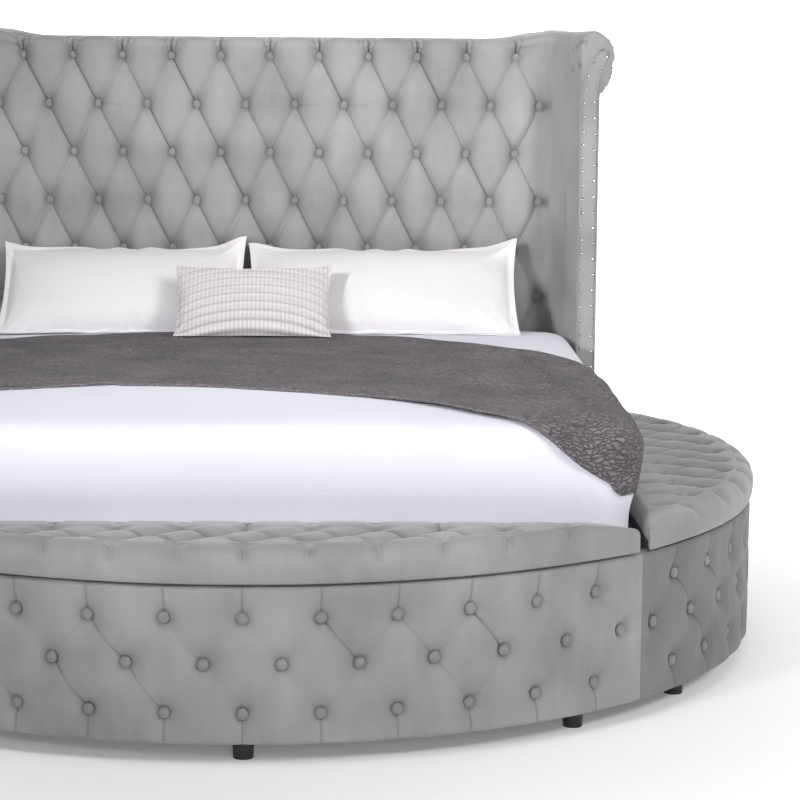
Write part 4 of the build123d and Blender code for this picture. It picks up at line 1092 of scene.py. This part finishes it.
def lid_pad(side):
    """Tufted lid cushion: rolled at its rim, with pleats that run over the roll."""
    low, high = bench_ends[side]
    tip = sqrt(lid_radius**2 - (lid_inner + lid_tip_width) ** 2)
    first = -tip if low == -1.0 else low
    final = tip if high == 1.0 else high
    stations = np.linspace(first, final, int((final - first) / lid_station_step))
    top_share = np.linspace(0, 1, lid_top_points)
    turns = np.linspace(0, pi / 2, 15)[1:]
    lower = np.linspace(0, pi / 2, 9)[1:]
    inner_turn = np.linspace(0, pi / 2, 7)[:-1]
    run_out = np.cos(turns) ** 0.7
    loops = []
    folds = []
    for along in stations:
        outer = sqrt(lid_radius**2 - along**2)
        width = outer - lid_inner
        fit = min(1.0, width / lid_full_width)
        roll = lid_roll * fit
        inner_roll = min(lid_inner_roll, width / 4)
        end = 0.0
        for limit in (first, final):
            gap = abs(limit - along)
            if gap < lid_end_roll:
                end = lid_end_roll * (1 - sqrt(max(0.0, 1 - (1 - gap / lid_end_roll) ** 2)))
        drop = (1 - fit) * lid_tip_drop + 0.7 * end
        out = lid_inner + inner_roll + (width - inner_roll - roll) * top_share
        dent, shade, _ = lid_surface(np.full_like(out, along), out)
        lattice = button_lattice(np.full_like(out, along), out, lid_pitch, lid_rows)
        wrinkle = lid_wrinkle_height * gathers(lattice, 11, *gather_ring, 0.3)
        height = lid_crown(out) - drop + (wrinkle - lid_depth * dent - lid_fold_depth * shade) * fit
        rim_height = lid_crown(outer - roll) - drop
        column = off_whole(along / lid_pitch) * lid_pitch
        pleat = bell(column, lid_pleat_width) + 0.55 * bell(column - lid_pleat_step, lid_second_pleat_width)
        scallop = bell(column, lid_scallop_width)
        half = (rim_height - lid_rim) / 2
        pinch = (lid_pleat_depth * pleat + lid_scallop_depth * scallop) * fit * (0.25 + 0.75 * run_out)
        upper_out = outer - roll + (roll - pinch) * np.sin(turns)
        upper_height = lid_rim + half + (half - pinch) * np.cos(turns)
        height[-1] = min(height[-1], rim_height - pinch[0])
        lower_out = outer - roll / 4 + roll / 4 * np.cos(lower)
        lower_height = lid_rim + half - half * np.sin(lower)
        pocket = max(sqrt(max(lid_board_radius, abs(along)) ** 2 - along**2), lid_inner + 0.001)
        pocket = min(pocket, lower_out[-1] - lid_pocket_clearance)
        inner_out = lid_inner + inner_roll - inner_roll * np.cos(inner_turn)
        inner_rise = lid_crown(lid_inner) - drop - inner_roll + inner_roll * np.sin(inner_turn)
        line_out = np.concatenate([[lid_inner], inner_out, out, upper_out, lower_out, [pocket, pocket]])
        line_height = np.concatenate([
            [lid_board_top], inner_rise, height, upper_height, lower_height, [lid_rim, lid_board_top],
        ])
        middle = (lid_inner + outer) / 2
        line_out = middle + (line_out - middle) * (1 - 0.7 * end / max(width, 0.05))
        loops.append(placed(side, np.full_like(line_out, along), line_out, line_height))
        # Painted shade in the dents, creases, button pits and the pleats over the roll, as the fold value.
        pit_shade = 0.5 * near_button(lattice, button_pit_shade_radius) * (dent > 0.25)
        shaded = np.clip(0.85 * shade + 0.25 * dent**2 + pit_shade, 0, 1)
        before = np.zeros(1 + len(inner_turn))
        after = np.zeros(len(lower) + 2)
        folds.append(np.concatenate([before, shaded, 0.4 * pleat * fit * run_out, after]))
    return lofted(f"{side}_lid_tufting", np.array(loops), velvet, {"fold": np.array(folds)}, None, 75)


def lid_button_places(side):
    """Centres and outward directions of a lid's covered buttons."""
    places = []
    for along, out in lid_button_spots(side):
        dent, _, fit = lid_surface(np.array([along]), np.array([out]))
        height = lid_crown(out) - (1 - fit) * lid_tip_drop - lid_depth * dent * fit + lid_button_lift
        places.append((placed(side, along, out, float(height[0])), (0, 0, 1)))
    return places


for side in bench_turns:
    pad = dress(wall_pad(side), "velvet", "bed", f"{side}_wall_pad")
    lid = dress(lid_pad(side), "velvet", f"{side}_lid", f"{side}_lid_pad")
    buttons = covered_buttons(f"{side}_lid_covered_buttons", lid_button_places(side), shaded_button_velvet)
    dress(buttons, "button", f"{side}_lid", f"{side}_lid_buttons")
buttons = covered_buttons("wall_covered_buttons", wall_button_places(), shaded_button_velvet)
dress(buttons, "button", "bed", "wall_buttons")


# Mattress and bedding

mattress_foot_roll = 0.012
mattress_seams = (0.1, 0.5, 0.86)
mattress_seam_width = 0.02
mattress_seam_depth = 0.003


def rounded_loop(half, foot, head, corner, per_corner=8, per_side=24):
    """Closed rounded rectangle, from the right end of its head edge: x and y of its points."""
    corner = min(corner, half, (head - foot) / 2)
    centres = (
        (half - corner, head - corner, pi / 2), (half - corner, foot + corner, 0),
        (corner - half, foot + corner, -pi / 2), (corner - half, head - corner, pi),
    )
    turned = [start + np.linspace(0, -pi / 2, per_corner) for _, _, start in centres]
    arcs = [
        np.stack([x + corner * np.cos(turns), y + corner * np.sin(turns)], -1)
        for (x, y, _), turns in zip(centres, turned)
    ]
    share = np.linspace(0, 1, per_side + 2)[1:-1, None]
    points = []
    for arc, following in zip(arcs, arcs[1:] + arcs[:1]):
        points += [arc, arc[-1] * (1 - share) + following[0] * share]
    return np.concatenate(points)


def mattress_piece():
    """Mattress with rolled edges and three stitched grooves round its side."""
    low, high = mattress_low, mattress_high
    edge = mattress_edge
    roll = mattress_foot_roll
    levels = [(0.02, low, 0.0)]
    for turn in np.linspace(0, pi / 2, 6):
        levels.append((roll - roll * sin(turn), low + roll - roll * cos(turn), 0.0))
    for share in np.linspace(0.05, 0.82, 18):
        groove = max(bell(share - seam, mattress_seam_width) for seam in mattress_seams)
        levels.append((mattress_seam_depth * groove, low + roll + (high - edge - low) * share, groove))
    for turn in np.linspace(0, pi / 2, 10):
        levels.append((edge - edge * cos(turn), high - edge + edge * sin(turn), 0.0))
    levels += [(inset, high, 0.0) for inset in np.linspace(edge + 0.04, mattress_half - 0.02, 16)]
    loops = []
    folds = []
    for inset, height, groove in levels:
        half = mattress_half - inset
        loop = rounded_loop(half, -half, mattress_head - inset, max(0.002, mattress_corner - inset * 0.5))
        loops.append(np.concatenate([loop, np.full((len(loop), 1), height)], -1))
        folds.append(np.full(len(loop), groove))
    return lofted("mattress_cover", np.array(loops), knitted, {"fold": np.array(folds)}, None, 60)


mattress_object = dress(mattress_piece(), "mattress", "bed", "mattress")

profile_line = even(through(coverlet_profile, 160), 60)
crown_height = profile_line[-1, 1]
bedding_crown = 0.004
bedding_puff = 0.0022
coverlet_round = 4.7
coverlet_centre = (0.0, 0.25)


def coverlet_loop(half, count_side=70, count_corner=10, count_foot=70):
    """Open loop down one side, round the foot and up the other, for one half width."""
    corner = min(coverlet_corner, half)
    straight = half - corner
    turns = np.linspace(0, pi / 2, count_corner)
    right = np.stack([np.full(count_side, half), np.linspace(coverlet_head, -straight, count_side)], -1)
    right_corner = np.stack([straight + corner * np.cos(turns), -straight - corner * np.sin(turns)], -1)
    foot = np.stack([np.linspace(straight, -straight, count_foot), np.full(count_foot, -half)], -1)
    left_corner = right_corner[::-1] * (-1, 1)
    left = right[::-1] * (-1, 1)
    return np.concatenate([right, right_corner[1:], foot[1:], left_corner[1:], left[1:]])


def puffed(x, y):
    """Soft unevenness of the bedding's top."""
    return bedding_puff * np.sin(x * 6.1 + 0.4) * np.sin(y * 5.2 + 1.0)


def coverlet_surface():
    """Upper side of the coverlet, row by row from its hem to the bed's middle."""
    halves = [(half, height, True) for half, height in profile_line]
    inner = profile_line[-1, 0]
    for half in np.linspace(inner, 0.0, 46)[1:]:
        halves.append((half, crown_height + bedding_crown * (1 - (half / inner) ** 2), False))
    rows = []
    for half, height, hanging in halves:
        loop = coverlet_loop(half)
        reach = run_of(loop)
        reach = reach / max(reach[-1], 1e-6) * coverlet_round
        low = np.clip((0.70 - height) / 0.24, 0, 1) * hanging
        push = low * (0.0035 * np.sin(reach * 7.3 + 0.7) + 0.0022 * np.sin(reach * 17.0 + 2.1))
        spot = loop + unit(loop - coverlet_centre) * push[:, None]
        puff = puffed(*loop.T) * (1 - low)
        rows.append(np.concatenate([spot, (height + puff)[:, None]], -1))
    return np.array(rows)


coverlet_rows = coverlet_surface()
coverlet_inner = coverlet_rows + grid_normals(coverlet_rows) * coverlet_thickness
coverlet_object = two_sided("coverlet_cloth", coverlet_rows, coverlet_inner, cotton_white, merge=0.0004)
dress(coverlet_object, "coverlet", "bed", "coverlet")

unrolled = np.concatenate([[(0.0, crown_height)], profile_line[::-1]])
unrolled_reach = run_of(unrolled)


def on_bedding(flat_x, flat_y):
    """Points of a flat cloth laid over the coverlet, bent down its sides and its foot."""
    reach = np.maximum(np.abs(flat_x), -flat_y)
    half = np.interp(reach, unrolled_reach, unrolled[:, 0])
    height = np.interp(reach, unrolled_reach, unrolled[:, 1])
    corner = np.minimum(coverlet_corner, half)
    straight = half - corner
    sideways = np.abs(flat_x) >= -flat_y
    along = np.where(sideways, -flat_y, np.abs(flat_x))
    turn = pi / 4 * np.clip((along - straight) / np.maximum(reach - straight, 1e-6), 0, 1)
    major = np.where(along > straight, straight + corner * np.cos(turn), half)
    minor = np.where(along > straight, straight + corner * np.sin(turn), along)
    x = np.sign(flat_x) * np.where(sideways, major, minor)
    y = -np.where(sideways, minor, major)
    crown = bedding_crown * np.clip(1 - (reach / unrolled[1, 0]) ** 2, 0, 1)
    return np.stack([x, y, height + crown + puffed(x, y) * smooth_step(0.7, 0.76, height)], -1)


runner_loose = 0.003
runner_folds = (0.016, 0.013)
runner_fold_widths = (0.022, 0.02)
runner_wave = 0.003
runner_front_lift = 0.009
runner_clearance = 0.0005
runner_columns = 330
runner_stations = 150
runner_back = through(
    ((-1.2, 0.64), (-0.839, 0.666), (-0.531, 0.738), (-0.215, 0.777), (0.105, 0.77), (0.425, 0.69),
     (0.668, 0.52), (0.814, 0.373), (0.92, 0.24), (1.0, 0.16), (1.2, 0.06)),
    90,
)
runner_front = through(
    ((-1.2, -0.5), (-0.9, -0.49), (-0.69, -0.467), (-0.533, -0.432), (-0.373, -0.412), (-0.15, -0.42),
     (0.015, -0.458), (0.178, -0.518), (0.339, -0.61), (0.493, -0.755), (0.6, -0.88), (0.76, -1.0),
     (0.86, -1.076), (0.95, -1.12), (1.07, -1.14), (1.2, -1.14)),
    120,
)


def runner_surface():
    """Throw laid over the coverlet: across the bed by rows, from its front edge to its back edge."""
    columns = np.linspace(-runner_drop, runner_drop, runner_columns)
    run = np.linspace(0, 1, runner_stations)
    front = np.interp(columns, runner_front[:, 0], runner_front[:, 1])
    back = np.interp(columns, runner_back[:, 0], runner_back[:, 1])
    flat_x = np.repeat(columns[:, None], len(run), axis=1)
    short = (runner_drop - 1.14) * (1 - smooth_step(0.12, 0.35, run))
    flat_x = flat_x - short * smooth_step(0.9, 1.2, flat_x)
    flat_y = front[:, None] + (back - front)[:, None] * run[None]
    laid = on_bedding(flat_x, flat_y)
    right_side = smooth_step(0.55, 0.95, flat_x)
    folds = runner_folds[0] * bell(flat_x - 0.93 + 0.16 * run, runner_fold_widths[0])
    folds += runner_folds[1] * bell(flat_x - 1.02 + 0.1 * run, runner_fold_widths[1])
    folds *= smooth_step(0.12, 0.3, run) * smooth_step(1.0, 0.8, run)
    waves = runner_wave * (1 + np.sin(flat_y * 9 + flat_x * 4)) * right_side
    soft = 0.0012 * np.sin(flat_x * 23 + 1.7 * np.sin(flat_y * 7)) + 0.001 * np.sin(flat_y * 31 + flat_x * 11)
    lifted_front = runner_front_lift * np.exp(-(run / 0.03)) * smooth_step(0.2, 0.5, flat_x)
    hanging = smooth_step(1.01, 1.1, np.maximum(np.abs(flat_x), -flat_y))
    loose = runner_loose + folds + waves + soft + lifted_front
    lift = runner_lift + runner_thickness + runner_clearance + loose * (1 - hanging)
    edge = np.ones(flat_x.shape)
    edge[1:-1, 1:-1] = 0
    return laid + grid_normals(laid) * lift[..., None], edge


runner_rows, runner_edge = runner_surface()
runner_under = runner_rows - grid_normals(runner_rows) * runner_thickness
runner_values = {"edge": (runner_edge, runner_edge)}
runner_object = two_sided("runner_throw", runner_rows, runner_under, quilted, runner_values)
dress(runner_object, "runner", "bed", "runner")


# Pillows

pillow_tilt = radians(40)
cushion_tilt = radians(50)
pillow_hem = 0.0015
pillow_sink = 0.012
pillow_gap = 0.0006
press_reach = 0.02
tuck_count = 8
tuck_height = 0.0075
tuck_pucker = 0.0009


def pillow_form(width, height, thickness, sag, corner, flange, columns=120, rows=72):
    """Sewn pillow, flat in its own frame: across, up, half thickness, wrinkles and flopped flange."""
    across, up = np.meshgrid(np.linspace(-1, 1, columns), np.linspace(-1, 1, rows), indexing="ij")
    x = width / 2 * across * (1 - sag * (1 - np.abs(up) ** 2.2))
    y = height / 2 * up * (1 - sag * width / height * (1 - np.abs(across) ** 2.2))
    inner_across = np.clip(np.abs(across) / (1 - flange / width), 0, 1)
    inner_up = np.clip(np.abs(up) / (1 - flange / height), 0, 1)
    bulge = ((1 - inner_across**2.6) * (1 - inner_up**2.3)) ** 0.5
    near = np.hypot(1 - np.abs(across), (1 - np.abs(up)) * height / width)
    z = thickness / 2 * bulge * (1 - corner * bell(near, 0.22))
    turn = np.arctan2((1 - np.abs(up)) * height, (1 - np.abs(across)) * width)
    ray = np.sin(turn * 15 + np.sign(across) * 1.3 + np.sign(up) * 2.1)
    pull = 0.0028 * ray * bell(near, 0.3) * smooth_step(0.02, 0.12, near)
    seam = 0.0022 * np.sin(across * width * 95 + 2) * np.exp(-((1 - np.abs(up)) / 0.16)) * bulge
    flop = 0.6 * flange * bell(near, 0.16) * (up > 0) * (1 + 0.6 * np.sign(across))
    ripple = np.sin(across * width * 19 + 3 * up + 2 * np.sin(across * 5))
    ripple = 0.07 * flange * ripple * (1 - bulge) ** 2
    return x, y + 0.5 * ripple, z, pull + seam + ripple, flop


def pillow_piece(name, place, tilt, size, rest, material, sag=0.035, corner=0.35, flange=0.05, detail=None):
    """Stuffed pillow that leans back on its lower edge."""
    x, y, z, wrinkle, flop = pillow_form(*size, sag, corner, flange)
    front = z + wrinkle + flop
    back = wrinkle * (z < 0.001) + flop - z * 0.85
    none = np.zeros_like(z)
    folds = none
    stripe = none
    if detail:
        front, folds, stripe = detail(x / (size[0] / 2), y / (size[1] / 2), front)
    out = np.stack([front + pillow_hem, back - pillow_hem])
    depth = y * cos(tilt) - out * sin(tilt) + place[1]
    height = y * sin(tilt) + out * cos(tilt)
    low = height - height.min() - pillow_sink
    pressed = np.maximum(pillow_gap, press_reach * np.exp((low - press_reach) / press_reach))
    height = rest + np.where(low < press_reach, pressed, low)
    both = np.stack([np.broadcast_to(place[0] + x, depth.shape), depth, height], -1)
    return two_sided(name, *both, material, {"fold": (folds, none), "stripe": (stripe, stripe)}, 70)


def pintucks(across, up, front):
    """Bowed tucks over the accent cushion: its front with them, their shade and the stripes of its cloth."""
    bow = -0.3 * (1 - across**2)
    wave = np.sin(across * 118)
    phase = (up * 1.02 + bow + 1) / 2 * (tuck_count + 1)
    part = phase - np.floor(phase)
    ridge = bell(part - 0.62, 0.17)
    shadow = bell(part - 0.36, 0.1)
    inside = smooth_step(1.0, 0.93, np.abs(across)) * smooth_step(1.0, 0.9, np.abs(up))
    tucked = front + (tuck_height + tuck_pucker * wave) * ridge * inside
    return tucked, 0.85 * shadow * inside, 0.5 + 0.5 * wave


bed_rest = crown_height + 0.0008
runner_rest = bed_rest + runner_thickness + runner_lift + 0.006
for name, place, width in (("right_pillow", (0.375, 0.955), 0.89), ("left_pillow", (-0.475, 0.955), 0.8)):
    piece = pillow_piece(f"{name}_case", place, pillow_tilt, (width, 0.42, 0.165), bed_rest, pillow_cotton)
    dress(piece, "pillow", "bed", name)
cushion = pillow_piece(
    "pleated_cushion", (-0.043, 0.728), cushion_tilt, (0.5, 0.285, 0.105), runner_rest, pleated,
    0.045, 0.2, 0.012, pintucks,
)
dress(cushion, "cushion", "bed", "accent_cushion")


# Materials of the imported nodes that stay

# Boards, rails and slats take the dark lining: partly real, partly painted shade in the gaps beside the lids.
lined_and_gap_shaded = ["head_rail", "foot_rail", "left_rail", "right_rail", "headboard_arms", "slats"]
zinced = ["bench_bolts", "lid_hinge_fixed_leaves", "lid_hinge_pins"]
for side in bench_turns:
    lined_and_gap_shaded += [f"{side}_{word}" for word in ("bottom_board", "inner_wall", "outer_wall", "lid_board")]
    zinced += [f"{side}_lid_leaves"]
for material, nodes in (
    (lining_and_gap_shade, lined_and_gap_shaded),
    (zinc, zinced),
    # On the bench end blocks the dark back cloth is partly painted shade, where the corner gaps show them.
    (back_cloth, ("bench_end_blocks", "headboard_back_cover", "headboard_lower_cover")),
    (dark_foot, ("bench_feet", "centre_legs", "headboard_feet")),
    (pine, ("centre_beam", "headboard_frame_rails", "headboard_stiles")),
    (plywood, ("headboard_board", "left_wing_board", "right_wing_board")),
    (rubber, ("lid_bumpers",)),
    (chrome, ("wing_nailheads",)),
):
    for node in nodes:
        for slot in bpy.data.objects[node].material_slots:
            slot.material = material


# Floor, light and camera

floor_reach = 30.0
floor_glow_near = 0.14
floor_glow_far = 0.7
backdrop_place = 16.0
floor_points = [(-floor_reach, -floor_reach, 0), (floor_reach, -floor_reach, 0),
                (floor_reach, floor_reach, 0), (-floor_reach, floor_reach, 0)]
backdrop_points = [(-floor_reach, backdrop_place, -0.01), (floor_reach, backdrop_place, -0.01),
                   (floor_reach, backdrop_place, floor_reach), (-floor_reach, backdrop_place, floor_reach)]

floor_look = Look("floor", (0.9, 0.9, 0.905), 0.8)
floor_place = floor_look.place((0.25, 0.25, 0.25))
distance = floor_look.add("VectorMath", {0: floor_place}, "Value", operation="LENGTH")
floor_look.feed({
    "Specular IOR Level": 0.1,
    "Emission Color": (1, 1, 1, 1),
    "Emission Strength": floor_look.ramp(distance, (0.33, floor_glow_near), (0.9, floor_glow_far)),
})
backdrop_look = Look("backdrop", (0.9, 0.9, 0.9), 0.9)
backdrop_look.feed({"Emission Color": (1, 1, 1, 1), "Emission Strength": 0.9})
for name, points, look in (("floor", floor_points, floor_look), ("backdrop", backdrop_points, backdrop_look)):
    new_object(name, points, [(0, 1, 2, 3)], look.material)

world = bpy.data.worlds.new("studio")
bpy.context.scene.world = world
world.use_nodes = True
world.node_tree.nodes["Background"].inputs["Color"].default_value = (1, 1, 1, 1)
world.node_tree.nodes["Background"].inputs["Strength"].default_value = 0.15


def area_light(name, place, target, size, power, colour=(1, 1, 1), spread=pi):
    """A rectangular light that faces a target."""
    light = bpy.data.lights.new(name, "AREA")
    light.spread = spread
    light.shape = "RECTANGLE"
    light.size, light.size_y = size
    light.energy = power
    light.color = colour
    holder = bpy.data.objects.new(name, light)
    holder.location = place
    holder.rotation_euler = (Vector(target) - Vector(place)).to_track_quat("-Z", "Y").to_euler()
    bpy.context.scene.collection.objects.link(holder)


warm = (1.0, 0.985, 0.97)
area_light("key", (4.6, -4.4, 4.2), (-0.1, 1.15, 1.2), (1.4, 1.4), 42, warm, radians(64))
area_light("front", (1.6, -9.5, 2.6), (0.1, 0.1, 0.7), (2.2, 2.2), 58, warm)
area_light("low", (0.6, -4.4, 1.0), (0.45, -1.4, 0.25), (0.8, 0.8), 3.0, (1.0, 0.99, 0.98), radians(70))
area_light("top", (0.6, -2.6, 4.8), (0.0, 0.6, 0.9), (3.0, 2.0), 46, (0.96, 0.98, 1.0))
area_light("side", (-3.2, -5.0, 2.9), (0.95, 1.05, 1.4), (1.2, 1.2), 25, (1.0, 1.0, 1.0), radians(44))

camera_data = bpy.data.cameras.new("camera")
camera = bpy.data.objects.new("camera", camera_data)
bpy.context.scene.collection.objects.link(camera)
camera_data.sensor_fit = "HORIZONTAL"
camera_data.sensor_width = 36.0
camera_data.lens = 114.257
yaw, pitch, roll_turn = 0.025777, 0.145707, 0.00773
forward = Vector((sin(yaw) * cos(pitch), cos(yaw) * cos(pitch), -sin(pitch)))
level_right = Vector((cos(yaw), -sin(yaw), 0))
level_up = Vector((sin(yaw) * sin(pitch), cos(yaw) * sin(pitch), cos(pitch)))
right_axis = level_right * cos(roll_turn) + level_up * sin(roll_turn)
up_axis = level_up * cos(roll_turn) - level_right * sin(roll_turn)
turn = Matrix((right_axis, up_axis, -forward)).transposed()
camera.matrix_world = Matrix.Translation((0.21946, -7.31642, 1.75384)) @ turn.to_4x4()
bpy.context.scene.camera = camera
bpy.context.scene.view_settings.view_transform = "Standard"
